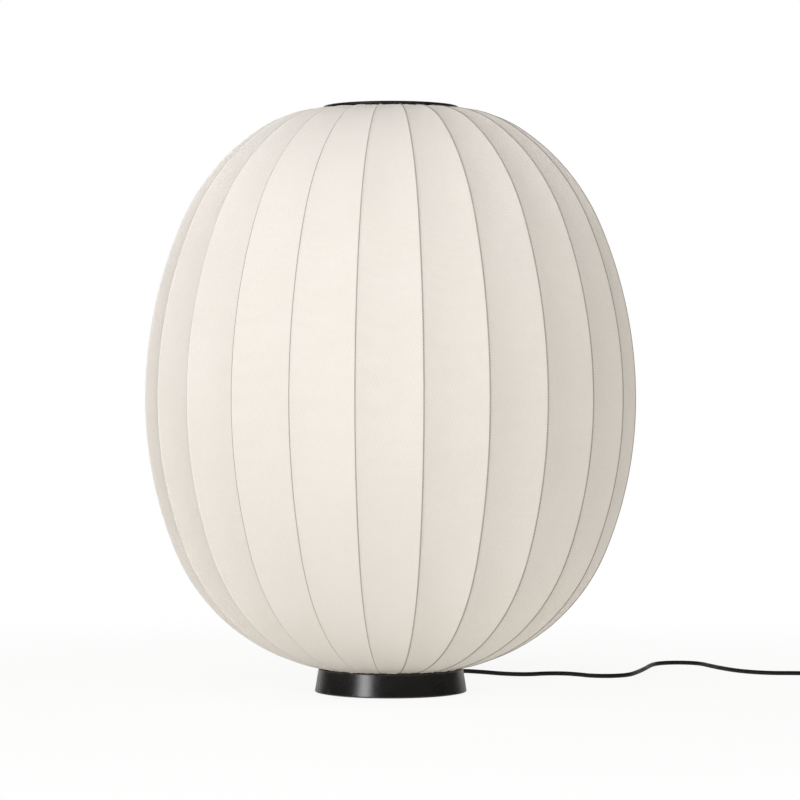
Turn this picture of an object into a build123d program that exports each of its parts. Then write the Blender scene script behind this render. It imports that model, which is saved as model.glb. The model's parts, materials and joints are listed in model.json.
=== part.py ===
from build123d import *
import math
import os

import numpy as np

# Knitted floor lamp: a pearl-white knitted cover stretched over bowed glass-fibre ribs,
# standing on a small round black base, with a bulb on a stem inside.
# Millimetres, +Z up. The origin is on the floor under the middle of the base, and the
# lamp is seen from -Y. The cord leaves the base at the back, towards +Y.

# Shade
shade_radius = 325.0
waist_height = 389.0
lamp_height = 777.5
rib_count = 24
rib_diameter = 3.0
rib_first_angle = 7.5
cover_thickness = 1.2
soft_gap = 0.4
socket_gap = 0.1
socket_depth = 6.5
facet_depth = 0.2
seam_gap = 0.1

# Base
base_rim_radius = 96.0
base_flare = 5.0
base_height = 31.2
base_foot_gap = 0.8
base_wall = 2.5
base_edge_round = 1.2
recess_rim_width = 6.5
recess_depth = 4.0
pad_thickness = 2.0
pad_margin = 2.8
pad_width = 29.0
plate_thickness = 1.2
plate_clearance = 0.7
weight_clearance = 4.5
weight_edge_round = 2.0
groove_width = 32.0
groove_clearance = 1.2
pocket_radius = 15.0
pocket_height = 12.3
screw_radius = 2.0
screw_head_radius = 3.8
screw_head_height = 2.4
screw_hole_gap = 0.2
screw_pocket_gap = 1.0
screw_pocket_spare = 0.8
screw_hole_spare = 0.5
thread_gap = 0.05
ring_screw_count = 3
ring_screw_first_angle = 90.0
ring_screw_length = 9.0
plate_screw_count = 3
plate_screw_first_angle = 150.0
plate_screw_inset = 40.0
plate_screw_length = 9.0
plate_screw_head_height = 1.6

# Rings
bottom_ring_wall = 12.2
bottom_ring_height = 11.0
bottom_ring_round = 1.5
ring_seat_gap = 0.3
top_mouth_radius = 76.0
top_ring_wall = 10.0
top_flange_overhang = 4.0
top_flange_thickness = 3.8
top_collar_height = 8.0
top_flange_round = 1.4
cover_to_collar_gap = 0.6
cover_to_flange_gap = 0.5
cover_to_base_gap = 0.4
cover_to_ring_gap = 3.1
mouth_trim = 0.3
mouth_trim_depth = 3.0

# Stem and lampholder
stem_radius = 5.0
stem_wall = 1.0
stem_foot_height = 10.0
stem_length = 295.0
nut_across_flats = 17.0
nut_height = 6.0
nut_sides = 6
holder_engagement = 9.0
holder_neck_wall = 3.5
holder_neck_height = 6.0
holder_shoulder_height = 15.0
holder_floor_height = 10.0
holder_radius = 19.5
holder_wall = 2.1
holder_cap_height = 26.0
holder_shell_height = 30.0
holder_edge_round = 1.0
core_height = 15.6
core_drop = 9.8
core_clearance = 0.3
core_chamfer = 0.8
bulb_thread_gap = 0.4
screw_shell_wall = 0.7
screw_shell_height = 20.0
screw_shell_clearance = 0.6
contact_radius = 4.0
contact_height = 1.6
contact_round = 0.6

# Bulb
bulb_cap_radius = 13.1
bulb_cap_wall = 0.6
bulb_cap_length = 21.8
bulb_cap_bevel = 1.6
bulb_cap_lip = 1.0
bulb_foot_gap = 0.3
bulb_foot_height = 3.5
bulb_tip_radius = 4.7
bulb_tip_height = 1.2
bulb_foot_radius = 9.5
bulb_globe_radius = 30.0
bulb_globe_wall = 1.2
bulb_collar_inset = 3.0
bulb_collar_height = 40.0
bulb_collar_wall = 1.6
bulb_collar_step = 0.9
bulb_collar_skirt = 3.0
bulb_collar_foot_flare = 0.25
bulb_collar_top_flare = 0.45

# Wiring in the base and stem
cord_diameter = 6.0
lead_diameter = 2.2
lead_spacing = 3.4
lead_height = 6.2
lead_bend_radius = 5.0
lead_gap = 0.2
grip_size = (24.0, 10.0)
grip_distance = 78.0
grip_wall = 1.0
terminal_size = (20.0, 16.0, 11.0)
terminal_distance = 44.0
block_round = 1.5

# Gland in the back of the base
gland_wall = 2.8
gland_hole_gap = 0.2
gland_flange_overhang = 1.7
gland_inner_flange_overhang = 2.2
gland_inner_flange_thickness = 2.9
gland_flange_thickness = 2.3
gland_wall_gap = 0.2
gland_plate_gap = 0.3
gland_sleeve_length = 25.5
sleeve_tip_wall = 1.3

# Foot switch on the cord
switch_centre = (625.0, 102.0)
switch_width = 40.0
switch_length = 76.0
switch_corner = 12.0
switch_tray_height = 8.0
switch_height = 20.0
switch_wall = 2.0
switch_top_round = 4.0
switch_foot_chamfer = 0.8
switch_draft = 14.0
switch_cord_height = 6.5
sleeve_length = 12.0
sleeve_base_wall = 2.5
button_radius = 12.0
button_gap = 0.4
button_rise = 4.0
button_round = 2.0
button_flange_overhang = 2.0
button_flange_thickness = 2.0
button_flange_gap = 0.3
button_stem_radius = 3.0
button_stem_length = 5.7
spring_play = 1.2
spring_wire = 0.8
spring_turns = 5
spring_seat_gap = 0.1
contact_block = (8.0, 10.0, 6.0)
contact_block_offset = 25.0
contact_block_round = 1.0

# Coil of the cord that is put away
coil_start = (643.9, -50.0)
coil_turns = 6
coil_pitch_gap = 0.6
coil_inner_radius = 23.1
climb_turns = 0.5

# Plug
plug_entry = (624.0, -190.0)
plug_sleeve_length = 18.0
plug_sleeve_tip_wall = 1.0
plug_sleeve_base_wall = 2.6
plug_length = 35.0
plug_width = 35.3
plug_neck_width = 13.0
plug_shoulder_length = 11.0
plug_thickness = 13.7
plug_round = 3.0
plug_edge_chamfer = 1.0
pin_radius = 2.0
pin_length = 19.0
pin_spacing = 18.6
pin_seat_depth = 8.0
pin_seat_radius = 1.6
pin_tip_round = 1.0

# Levels and radii of the base, worked out from the floor up and from the rim inwards
plate_top = pad_thickness + plate_thickness
recess_floor = base_height - recess_depth
cover_underside = recess_floor - base_wall
wall_lean = base_flare / (base_height - base_foot_gap)
base_foot_radius = base_rim_radius + base_flare
inner_foot_radius = base_foot_radius - base_wall
inner_roof_radius = inner_foot_radius - wall_lean * (cover_underside - base_foot_gap)
recess_radius = base_rim_radius - recess_rim_width
plate_radius = inner_foot_radius - plate_clearance
pad_radius = plate_radius - pad_margin
weight_radius = inner_roof_radius - weight_clearance
plate_screw_orbit = weight_radius - plate_screw_inset
bottom_ring_radius = recess_radius - ring_seat_gap
ring_screw_orbit = bottom_ring_radius - bottom_ring_wall / 2

# Gland: it clears the floor plate, and its flanges clear the leaning wall
gland_neck_radius = cord_diameter / 2 + gland_wall
gland_hole_radius = gland_neck_radius + gland_hole_gap
gland_flange_radius = gland_neck_radius + gland_flange_overhang
gland_inner_flange_radius = gland_neck_radius + gland_inner_flange_overhang
gland_height = plate_top + gland_plate_gap + gland_inner_flange_radius
gland_foot_rise = gland_height - gland_flange_radius - base_foot_gap
gland_face = base_foot_radius - wall_lean * gland_foot_rise + gland_wall_gap
gland_tip = gland_face + gland_flange_thickness + gland_sleeve_length
inner_flange_rise = gland_height + gland_inner_flange_radius - base_foot_gap
inner_flange_seat = inner_foot_radius - wall_lean * inner_flange_rise - gland_wall_gap
inner_flange_face = inner_flange_seat - gland_inner_flange_thickness
sleeve_tip_radius = cord_diameter / 2 + sleeve_tip_wall
groove_roof = gland_height + cord_diameter / 2 + groove_clearance
pocket_roof = plate_top + pocket_height
grip_foot = gland_height - cord_diameter / 2 - grip_wall

# Levels and radii of the lampholder and bulb
stem_bore_radius = stem_radius - stem_wall
holder_neck_radius = stem_radius + holder_neck_wall
stem_top = stem_foot_height + stem_length
holder_foot = stem_top - holder_engagement
holder_rim = holder_foot + holder_cap_height
core_foot = holder_rim - core_drop
core_top = core_foot + core_height
shell_top = holder_rim + holder_shell_height
screw_shell_bore_radius = bulb_cap_radius + bulb_thread_gap
shell_bore_radius = screw_shell_bore_radius + screw_shell_wall + screw_shell_clearance
bulb_foot = core_top + contact_height + bulb_foot_gap
bulb_cap_foot = bulb_foot + bulb_foot_height
bulb_cap_top = bulb_cap_foot + bulb_cap_length
bulb_collar_radius = bulb_globe_radius - bulb_collar_inset
bulb_collar_top = bulb_cap_top + bulb_collar_height
collar_bore_radius = bulb_cap_radius - bulb_collar_wall
collar_top_bore_radius = bulb_collar_radius - bulb_collar_wall
collar_foot_radius = bulb_cap_radius + bulb_collar_step
collar_skirt_top = bulb_cap_top + bulb_collar_skirt
globe_drop = math.sqrt(bulb_globe_radius**2 - bulb_collar_radius**2)
globe_centre = bulb_collar_top + globe_drop
globe_height = globe_centre + bulb_globe_radius - bulb_collar_top

# Levels of the foot switch
flange_top = switch_height - switch_wall - button_flange_gap
flange_foot = flange_top - button_flange_thickness
button_flange_radius = button_radius + button_flange_overhang
spring_radius = button_stem_radius + spring_play + spring_wire / 2
spring_foot = switch_wall + spring_wire / 2 + spring_seat_gap
spring_head = flange_foot - spring_wire / 2 - spring_seat_gap

# The cord's route over the floor, chosen by hand, as x, y and height of its middle.
# The first points follow the gland, and the last ones run straight into the switch.
floor_height = cord_diameter / 2
switch_back = switch_centre[1] + switch_length / 2 + sleeve_length
switch_front = switch_centre[1] - switch_length / 2 - sleeve_length
route_to_switch = [
    (0, gland_tip, gland_height),
    (0, gland_tip + 24, gland_height),
    (5, gland_tip + 52, gland_height - 5.0),
    (17, gland_tip + 84, floor_height),
    (36, 246, floor_height),
    (64, 271, floor_height),
    (96, 281, floor_height),
    (127, 262, floor_height),
    (159, 230, floor_height),
    (191, 221, floor_height),
    (217, 238, floor_height),
    (244, 237.5, floor_height),
    (263, 221.5, floor_height),
    (276.5, 202, floor_height),
    (299, 195, floor_height),
    (321, 203, floor_height),
    (335, 221, floor_height),
    (347, 257, floor_height),
    (361, 308, floor_height),
    (373, 362, floor_height),
    (383, 392, floor_height),
    (396, 408, floor_height),
    (416, 415, floor_height),
    (437, 410, floor_height),
    (451, 394, floor_height),
    (458, 368, floor_height),
    (470, 328, floor_height),
    (492, 275, floor_height),
    (529, 242, floor_height),
    (573, 242, floor_height),
    (603, 233, floor_height),
    (621, 209, floor_height + 0.4),
    (switch_centre[0], switch_back + 28, switch_cord_height),
    (switch_centre[0], switch_back, switch_cord_height),
]
coil_top_height = floor_height + cord_diameter + coil_pitch_gap
route_to_coil = [
    (switch_centre[0], switch_front, switch_cord_height),
    (switch_centre[0], switch_front - 18, switch_cord_height),
    (628, 12, floor_height + 0.4),
    (636, -7, floor_height),
    (coil_start[0], coil_start[1] + cord_diameter + 19, floor_height),
    (coil_start[0], coil_start[1] + cord_diameter, floor_height),
]
plug_height = plug_thickness / 2
route_to_plug = [
    (coil_start[0], coil_start[1] - cord_diameter, coil_top_height),
    (coil_start[0], coil_start[1] - cord_diameter - 21, coil_top_height),
    (641, -101, floor_height + 3.0),
    (635, -125, floor_height + 0.4),
    (627, -148, floor_height + 0.6),
    (plug_entry[0], plug_entry[1] + 18, plug_height),
    (plug_entry[0], plug_entry[1], plug_height),
]


class HalfShade:
    """Half of a rib's outer line, from the waist circle to where it ends under or over a ring.

    The line is a side arc, a shoulder arc, a curl arc and a straight tail, each tangent to
    the next. The radii of the side and shoulder arcs are solved so that the line reaches
    both the waist radius and the mouth. Points are (distance from the axis, height).
    """

    def __init__(self, sign, mouth, mouth_slope, tail, side_turn, shoulder_turn, curl_radius):
        mouth_radius, mouth_height = mouth
        self.sign = sign
        self.tail = tail
        self.end_turn = 90.0 - mouth_slope
        self.turns = [0.0, side_turn, shoulder_turn, self.end_turn]
        side, shoulder, end = (math.radians(turn) for turn in self.turns[1:])
        reach = shade_radius - mouth_radius - tail * math.sin(end)
        reach -= curl_radius * (math.cos(shoulder) - math.cos(end))
        rise = abs(mouth_height - waist_height) - tail * math.cos(end)
        rise -= curl_radius * (math.sin(end) - math.sin(shoulder))
        side_reach = 1 - math.cos(side)
        side_rise = math.sin(side)
        shoulder_reach = math.cos(side) - math.cos(shoulder)
        shoulder_rise = math.sin(shoulder) - math.sin(side)
        scale = side_reach * shoulder_rise - shoulder_reach * side_rise
        side_radius = (reach * shoulder_rise - shoulder_reach * rise) / scale
        shoulder_radius = (side_reach * rise - side_rise * reach) / scale
        self.radii = [side_radius, shoulder_radius, curl_radius]
        self.centres = [(shade_radius - side_radius, 0.0)]
        for turn, before, after in zip((side, shoulder), self.radii, self.radii[1:]):
            last = self.centres[-1]
            step = before - after
            self.centres.append((last[0] + step * math.cos(turn), last[1] + step * math.sin(turn)))

    def arc_point(self, arc, turn, inset):
        """Point of one arc at a turn in degrees from the waist, inset towards the inside."""
        radius = self.radii[arc] - inset
        along = radius * math.cos(math.radians(turn))
        up = radius * math.sin(math.radians(turn))
        centre = self.centres[arc]
        return (centre[0] + along, waist_height + self.sign * (centre[1] + up))

    def tail_point(self, inset, length):
        """Point on the straight tail, a length past the end of the curl arc."""
        start = self.arc_point(2, self.end_turn, inset)
        end = math.radians(self.end_turn)
        return (start[0] - length * math.sin(end), start[1] + self.sign * length * math.cos(end))

    def tail_length_to(self, inset, radius):
        """Length of tail that ends at a distance from the lamp's axis."""
        start = self.arc_point(2, self.end_turn, inset)
        return (start[0] - radius) / math.sin(math.radians(self.end_turn))

    def draw(self, inset, tail):
        """Adds the arcs and the tail to the open line, for a rib inset from the outer line."""
        for arc in range(3):
            start = self.turns[arc]
            centre = self.centres[arc]
            CenterArc(
                (centre[0], waist_height + self.sign * centre[1]),
                self.radii[arc] - inset,
                self.sign * start,
                self.sign * (self.turns[arc + 1] - start),
            )
        Line(self.tail_point(inset, 0), self.tail_point(inset, tail))

    def stations(self, inset):
        """Points down to the mouth, without the waist; chords cut in by no more than facet_depth."""
        points = []
        for arc in range(3):
            start = self.turns[arc]
            span = self.turns[arc + 1] - start
            step = 2 * math.degrees(math.acos(1 - facet_depth / self.radii[arc]))
            count = math.ceil(span / step)
            for place in range(1, count + 1):
                points.append(self.arc_point(arc, start + span * place / count, inset))
        points.append(self.tail_point(inset, self.tail))
        return points


gore_half_angle = math.pi / rib_count


def rib_angle(number):
    """Direction of a rib about the lamp's axis, in degrees."""
    return rib_first_angle + number * 360.0 / rib_count


def radial_plane(angle):
    """Upright plane through the axis: x runs outwards, y runs up."""
    turn = math.radians(angle)
    return Plane(
        origin=(0, 0, 0),
        x_dir=(math.cos(turn), math.sin(turn), 0),
        z_dir=(math.sin(turn), -math.cos(turn), 0),
    )


def gore_plane(outer, inner):
    """Plane across the first gore at a station (radius, height): x runs from seam to seam, y outwards."""
    turn = math.radians(rib_angle(0.5))
    middle = outer[0] * math.cos(gore_half_angle)
    out = (outer[0] - inner[0]) * math.cos(gore_half_angle)
    up = outer[1] - inner[1]
    return Plane(
        origin=(middle * math.cos(turn), middle * math.sin(turn), outer[1]),
        x_dir=(-math.sin(turn), math.cos(turn), 0),
        z_dir=(up * math.cos(turn), up * math.sin(turn), -out),
    )


def gore_section(outer, inner):
    """Corners of a gore's section on its plane, half a seam gap short of the ribs' planes."""
    outer_half = outer[0] * math.sin(gore_half_angle) - seam_gap / 2
    inner_half = inner[0] * math.sin(gore_half_angle) - seam_gap / 2
    out = (outer[0] - inner[0]) * math.cos(gore_half_angle)
    depth = math.hypot(out, outer[1] - inner[1])
    return [(-outer_half, 0), (outer_half, 0), (inner_half, -depth), (-inner_half, -depth)]


def tail_plane(half, angle, inset, length):
    """Plane across a rib's tail, its normal pointing outwards along the rib."""
    frame = radial_plane(angle)
    inner = half.tail_point(inset, length)
    outer = half.tail_point(inset, 0)
    start = frame.from_local_coords(Vector(*inner))
    end = frame.from_local_coords(Vector(*outer))
    return Plane(origin=start, z_dir=end - start)


def end_plane(line):
    """Plane across the start of a path."""
    return Plane(origin=line @ 0, z_dir=line % 0)


def bend_radii(points):
    """Radius at each corner of a route: as large as its two runs allow."""
    radii = []
    for before, here, after in zip(points, points[1:], points[2:]):
        arriving = Vector(*here) - Vector(*before)
        leaving = Vector(*after) - Vector(*here)
        half_turn = math.radians(arriving.get_angle(leaving)) / 2
        radii.append(0.45 * min(arriving.length, leaving.length) / math.tan(half_turn))
    return radii


def draw_biarcs(points, tangents):
    """Joins points with given directions by pairs of tangent arcs, in the open line."""
    for start, end, leaving, arriving in zip(points, points[1:], tangents, tangents[1:]):
        chord = end - start
        both = leaving + arriving
        closing = 2 * (1 - leaving.dot(arriving))
        along = chord.dot(both)
        reach = (math.sqrt(along * along + closing * chord.dot(chord)) - along) / closing
        joint = (start + end + (leaving - arriving) * reach) * 0.5
        middle = (end - arriving * reach - start - leaving * reach).normalized()
        TangentArc(start, joint, tangent=leaving)
        TangentArc(joint, end, tangent=middle)


def least_gap(line, diameter):
    """Least clear distance between two turns of a wound tube, measured on points."""
    count = int(line.length)
    points = np.array([tuple(line @ (step / count)) for step in range(count + 1)])
    spacing = line.length / count
    apart = np.linalg.norm(points[:, None] - points[None], axis=2)
    order = np.arange(count + 1)
    along = np.abs(order[:, None] - order[None]) * spacing
    return apart[along > 3 * diameter].min() - diameter


def report_cord(name, line, radii, solid):
    """Prints a cord's length, its bend radii and its volume against section times length."""
    section = math.pi * (cord_diameter / 2) ** 2
    share = solid.volume / (section * line.length)
    bends = ", ".join(f"{radius:.0f}" for radius in radii)
    print(f"{name}: length {line.length:.0f}, volume over section times length {share:.4f}, radii {bends}")


# Lines of the shade. The rib's middle lies inside the cover's outer line.
rib_inset = cover_thickness + soft_gap + rib_diameter / 2
rib_socket_radius = rib_diameter / 2 + socket_gap
top_collar_radius = top_mouth_radius + top_ring_wall
top_flange_radius = top_collar_radius + top_flange_overhang
top_flange_height = lamp_height - top_flange_thickness
upper_half = HalfShade(
    sign=1,
    mouth=(top_collar_radius + cover_to_collar_gap, top_flange_height - cover_to_flange_gap),
    mouth_slope=3.0,
    tail=9.4,
    side_turn=23.0,
    shoulder_turn=56.5,
    curl_radius=153.0,
)
lower_half = HalfShade(
    sign=-1,
    mouth=(bottom_ring_radius + cover_to_ring_gap, base_height + cover_to_base_gap),
    mouth_slope=12.0,
    tail=7.7,
    side_turn=22.0,
    shoulder_turn=56.5,
    curl_radius=259.0,
)
upper_rib_tail = upper_half.tail_length_to(rib_inset, top_collar_radius - socket_depth + ring_seat_gap)
lower_rib_tail = lower_half.tail_length_to(rib_inset, bottom_ring_radius - socket_depth + ring_seat_gap)

os.makedirs("parts", exist_ok=True)

# Base cover: a black cone-sided shell with a shallow recess for the ring on its top
with BuildPart() as base_cover:
    with BuildSketch(Plane.XZ):
        with BuildLine():
            Polyline(
                (base_foot_radius, base_foot_gap),
                (base_rim_radius, base_height),
                (recess_radius, base_height),
                (recess_radius, recess_floor),
                (stem_radius + screw_hole_gap, recess_floor),
                (stem_radius + screw_hole_gap, cover_underside),
                (inner_roof_radius, cover_underside),
                (inner_foot_radius, base_foot_gap),
                close=True,
            )
        make_face()
    revolve(axis=Axis.Z)
    rim_edge = base_cover.edges().filter_by(GeomType.CIRCLE).group_by(Axis.Z)[-1].sort_by(SortBy.RADIUS)[-1]
    fillet(rim_edge, base_edge_round)
    foot_edge = base_cover.edges().filter_by(GeomType.CIRCLE).group_by(Axis.Z)[0].sort_by(SortBy.RADIUS)[-1]
    fillet(foot_edge, base_edge_round)
    with BuildSketch(Plane.XZ):
        with Locations((0, gland_height)):
            Circle(gland_hole_radius)
    extrude(amount=-base_foot_radius, mode=Mode.SUBTRACT)
    with BuildSketch(Plane.XY.offset(cover_underside)):
        with PolarLocations(ring_screw_orbit, ring_screw_count, start_angle=ring_screw_first_angle):
            Circle(screw_radius + screw_hole_gap)
    extrude(amount=base_wall, mode=Mode.SUBTRACT)
base_cover.part.label = "base_cover"
export_step(base_cover.part, "parts/base_cover.step")

# Weight: a cast disc under the cover's roof, grooved below for the cord and its clamp
with BuildPart() as base_weight:
    with BuildSketch(Plane.XY.offset(plate_top)):
        Circle(weight_radius)
    extrude(amount=cover_underside - plate_top)
    fillet(base_weight.edges().filter_by(GeomType.CIRCLE), weight_edge_round)
    with BuildSketch(Plane.XY.offset(plate_top)):
        with Locations((0, weight_radius / 2)):
            Rectangle(groove_width, weight_radius)
    extrude(amount=groove_roof - plate_top, mode=Mode.SUBTRACT)
    with BuildSketch(Plane.XY.offset(plate_top)):
        Circle(pocket_radius)
    extrude(amount=pocket_height, mode=Mode.SUBTRACT)
    with BuildSketch(Plane.XY.offset(plate_top)):
        Circle(stem_radius + screw_hole_gap)
    extrude(amount=cover_underside - plate_top, mode=Mode.SUBTRACT)
    with BuildSketch(Plane.XY.offset(cover_underside)):
        with PolarLocations(ring_screw_orbit, ring_screw_count, start_angle=ring_screw_first_angle):
            Circle(screw_head_radius + screw_pocket_gap)
    extrude(amount=-screw_head_height - screw_pocket_spare, mode=Mode.SUBTRACT)
    with BuildSketch(Plane.XY.offset(plate_top)):
        with PolarLocations(plate_screw_orbit, plate_screw_count, start_angle=plate_screw_first_angle):
            Circle(screw_radius + thread_gap)
    extrude(amount=plate_screw_length, mode=Mode.SUBTRACT)
base_weight.part.label = "base_weight"
export_step(base_weight.part, "parts/base_weight.step")

# Floor plate that closes the base
with BuildPart() as base_plate:
    with BuildSketch(Plane.XY.offset(pad_thickness)):
        Circle(plate_radius)
        with PolarLocations(plate_screw_orbit, plate_screw_count, start_angle=plate_screw_first_angle):
            Circle(screw_radius + screw_hole_gap, mode=Mode.SUBTRACT)
    extrude(amount=plate_thickness)
base_plate.part.label = "base_plate"
export_step(base_plate.part, "parts/base_plate.step")

# Non-slip pad glued under the plate
with BuildPart() as base_pad:
    with BuildSketch():
        Circle(pad_radius)
        Circle(pad_radius - pad_width, mode=Mode.SUBTRACT)
    extrude(amount=pad_thickness)
base_pad.part.label = "base_pad"
export_step(base_pad.part, "parts/base_pad.step")

# Screws that hold the floor plate to the weight
with BuildPart() as plate_screws:
    with BuildSketch(Plane.XY.offset(pad_thickness)):
        with PolarLocations(plate_screw_orbit, plate_screw_count, start_angle=plate_screw_first_angle):
            Circle(screw_head_radius)
    extrude(amount=-plate_screw_head_height)
    with BuildSketch(Plane.XY.offset(pad_thickness)):
        with PolarLocations(plate_screw_orbit, plate_screw_count, start_angle=plate_screw_first_angle):
            Circle(screw_radius)
    extrude(amount=plate_screw_length)
plate_screws.part.label = "plate_screws"
export_step(plate_screws.part, "parts/plate_screws.step")

# Bottom ring: seated in the base's recess, with an inclined socket for each rib
with BuildPart() as bottom_ring:
    with BuildSketch(Plane.XY.offset(recess_floor)):
        Circle(bottom_ring_radius)
        Circle(bottom_ring_radius - bottom_ring_wall, mode=Mode.SUBTRACT)
    extrude(amount=bottom_ring_height)
    fillet(bottom_ring.edges().group_by(Axis.Z)[-1], bottom_ring_round)
    for number in range(rib_count):
        seat = tail_plane(lower_half, rib_angle(number), rib_inset, lower_rib_tail + ring_seat_gap)
        with BuildSketch(seat):
            Circle(rib_socket_radius)
        extrude(amount=socket_depth * 2, mode=Mode.SUBTRACT)
    with BuildSketch(Plane.XY.offset(recess_floor)):
        with PolarLocations(ring_screw_orbit, ring_screw_count, start_angle=ring_screw_first_angle):
            Circle(screw_radius + thread_gap)
    extrude(amount=ring_screw_length - base_wall + screw_hole_spare, mode=Mode.SUBTRACT)
bottom_ring.part.label = "bottom_ring"
export_step(bottom_ring.part, "parts/bottom_ring.step")

# Screws that hold the bottom ring, put in from inside the base
with BuildPart() as ring_screws:
    with BuildSketch(Plane.XY.offset(cover_underside)):
        with PolarLocations(ring_screw_orbit, ring_screw_count, start_angle=ring_screw_first_angle):
            Circle(screw_head_radius)
    extrude(amount=-screw_head_height)
    with BuildSketch(Plane.XY.offset(cover_underside)):
        with PolarLocations(ring_screw_orbit, ring_screw_count, start_angle=ring_screw_first_angle):
            Circle(screw_radius)
    extrude(amount=ring_screw_length)
ring_screws.part.label = "ring_screws"
export_step(ring_screws.part, "parts/ring_screws.step")

# Top ring: an open black ring, a thin flange over a collar with a socket for each rib
with BuildPart() as top_ring:
    with BuildSketch(Plane.XZ):
        with BuildLine():
            Polyline(
                (top_mouth_radius, lamp_height),
                (top_flange_radius, lamp_height),
                (top_flange_radius, top_flange_height),
                (top_collar_radius, top_flange_height),
                (top_collar_radius, top_flange_height - top_collar_height),
                (top_mouth_radius, top_flange_height - top_collar_height),
                close=True,
            )
        make_face()
    revolve(axis=Axis.Z)
    for radius in (top_flange_radius, top_mouth_radius):
        ring_edges = top_ring.edges().filter_by(GeomType.CIRCLE)
        fillet(ring_edges.filter_by(lambda edge: math.isclose(edge.radius, radius)), top_flange_round)
    for number in range(rib_count):
        seat = tail_plane(upper_half, rib_angle(number), rib_inset, upper_rib_tail + ring_seat_gap)
        with BuildSketch(seat):
            Circle(rib_socket_radius)
        extrude(amount=socket_depth * 2, mode=Mode.SUBTRACT)
top_ring.part.label = "top_ring"
export_step(top_ring.part, "parts/top_ring.step")

# Ribs: thin bowed rods, each plugged into both rings
for number in range(rib_count):
    with BuildPart() as rib:
        with BuildLine(radial_plane(rib_angle(number))) as rib_line:
            lower_half.draw(rib_inset, lower_rib_tail)
            upper_half.draw(rib_inset, upper_rib_tail)
        with BuildSketch(end_plane(rib_line.wire())):
            Circle(rib_diameter / 2)
        sweep()
    rib.part.label = f"rib_{number + 1:02d}"
    export_step(rib.part, f"parts/rib_{number + 1:02d}.step")

# Knitted cover: gores that meet at a seam over each rib, each one flat from seam to seam
outer_stations = [*reversed(lower_half.stations(0)), (shade_radius, waist_height), *upper_half.stations(0)]
inner_waist = (shade_radius - cover_thickness, waist_height)
inner_stations = [
    *reversed(lower_half.stations(cover_thickness)),
    inner_waist,
    *upper_half.stations(cover_thickness),
]
with BuildPart() as cover_gore:
    for outer, inner in zip(outer_stations, inner_stations):
        with BuildSketch(gore_plane(outer, inner)):
            Polygon(*gore_section(outer, inner), align=None)
    loft(ruled=True)
    with BuildSketch(Plane.XY.offset(base_height)):
        Circle(bottom_ring_radius + cover_to_ring_gap - mouth_trim)
    extrude(amount=mouth_trim_depth, mode=Mode.SUBTRACT)
    with BuildSketch(Plane.XY.offset(top_flange_height)):
        Circle(top_collar_radius + cover_to_collar_gap - mouth_trim)
    extrude(amount=-mouth_trim_depth, mode=Mode.SUBTRACT)
with BuildPart() as knitted_cover:
    with PolarLocations(0, rib_count):
        add(cover_gore.part)
knitted_cover.part.label = "knitted_cover"
export_step(knitted_cover.part, "parts/knitted_cover.step")

# Stem: threaded steel tube through the weight and the base cover
with BuildPart() as stem_tube:
    with BuildSketch(Plane.XY.offset(stem_foot_height)):
        Circle(stem_radius)
        Circle(stem_bore_radius, mode=Mode.SUBTRACT)
    extrude(amount=stem_length)
stem_tube.part.label = "stem_tube"
export_step(stem_tube.part, "parts/stem_tube.step")

# Hexagon nuts that clamp the stem: one on the base cover, one in the weight's pocket
with BuildPart() as stem_nuts:
    for level in (recess_floor, pocket_roof - nut_height):
        with BuildSketch(Plane.XY.offset(level)):
            RegularPolygon(nut_across_flats / 2, nut_sides, major_radius=False)
            Circle(stem_radius + thread_gap, mode=Mode.SUBTRACT)
        extrude(amount=nut_height)
stem_nuts.part.label = "stem_nuts"
export_step(stem_nuts.part, "parts/stem_nuts.step")

# Lampholder cap: screwed on the stem, flaring to the holder's width
with BuildPart() as holder_cap:
    with BuildSketch(Plane.XZ):
        with BuildLine():
            Polyline(
                (stem_radius + thread_gap, holder_foot),
                (holder_neck_radius, holder_foot),
                (holder_neck_radius, holder_foot + holder_neck_height),
                (holder_radius, holder_foot + holder_shoulder_height),
                (holder_radius, holder_rim),
                (holder_radius - holder_wall, holder_rim),
                (holder_radius - holder_wall, core_foot - core_clearance),
                (holder_neck_radius, holder_foot + holder_floor_height),
                (stem_radius + thread_gap, holder_foot + holder_floor_height),
                close=True,
            )
        make_face()
    revolve(axis=Axis.Z)
    neck_edge = holder_cap.edges().filter_by(GeomType.CIRCLE).group_by(Axis.Z)[0].sort_by(SortBy.RADIUS)[-1]
    fillet(neck_edge, holder_edge_round)
holder_cap.part.label = "holder_cap"
export_step(holder_cap.part, "parts/holder_cap.step")

# Insulating core that carries the contacts
with BuildPart() as holder_core:
    with BuildSketch(Plane.XY.offset(core_foot)):
        Circle(holder_radius - holder_wall - core_clearance)
    extrude(amount=core_height)
    chamfer(holder_core.edges().group_by(Axis.Z)[0], core_chamfer)
holder_core.part.label = "holder_core"
export_step(holder_core.part, "parts/holder_core.step")

# Outer shell of the holder, screwed on the cap and holding the core down
with BuildPart() as holder_shell:
    with BuildSketch(Plane.XZ):
        with BuildLine():
            Polyline(
                (holder_radius - holder_wall, holder_rim),
                (holder_radius, holder_rim),
                (holder_radius, shell_top),
                (shell_bore_radius, shell_top),
                (shell_bore_radius, core_top + core_clearance),
                (holder_radius - holder_wall, core_top + core_clearance),
                close=True,
            )
        make_face()
    revolve(axis=Axis.Z)
    fillet(holder_shell.edges().group_by(Axis.Z)[-1], holder_edge_round)
holder_shell.part.label = "holder_shell"
export_step(holder_shell.part, "parts/holder_shell.step")

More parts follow.
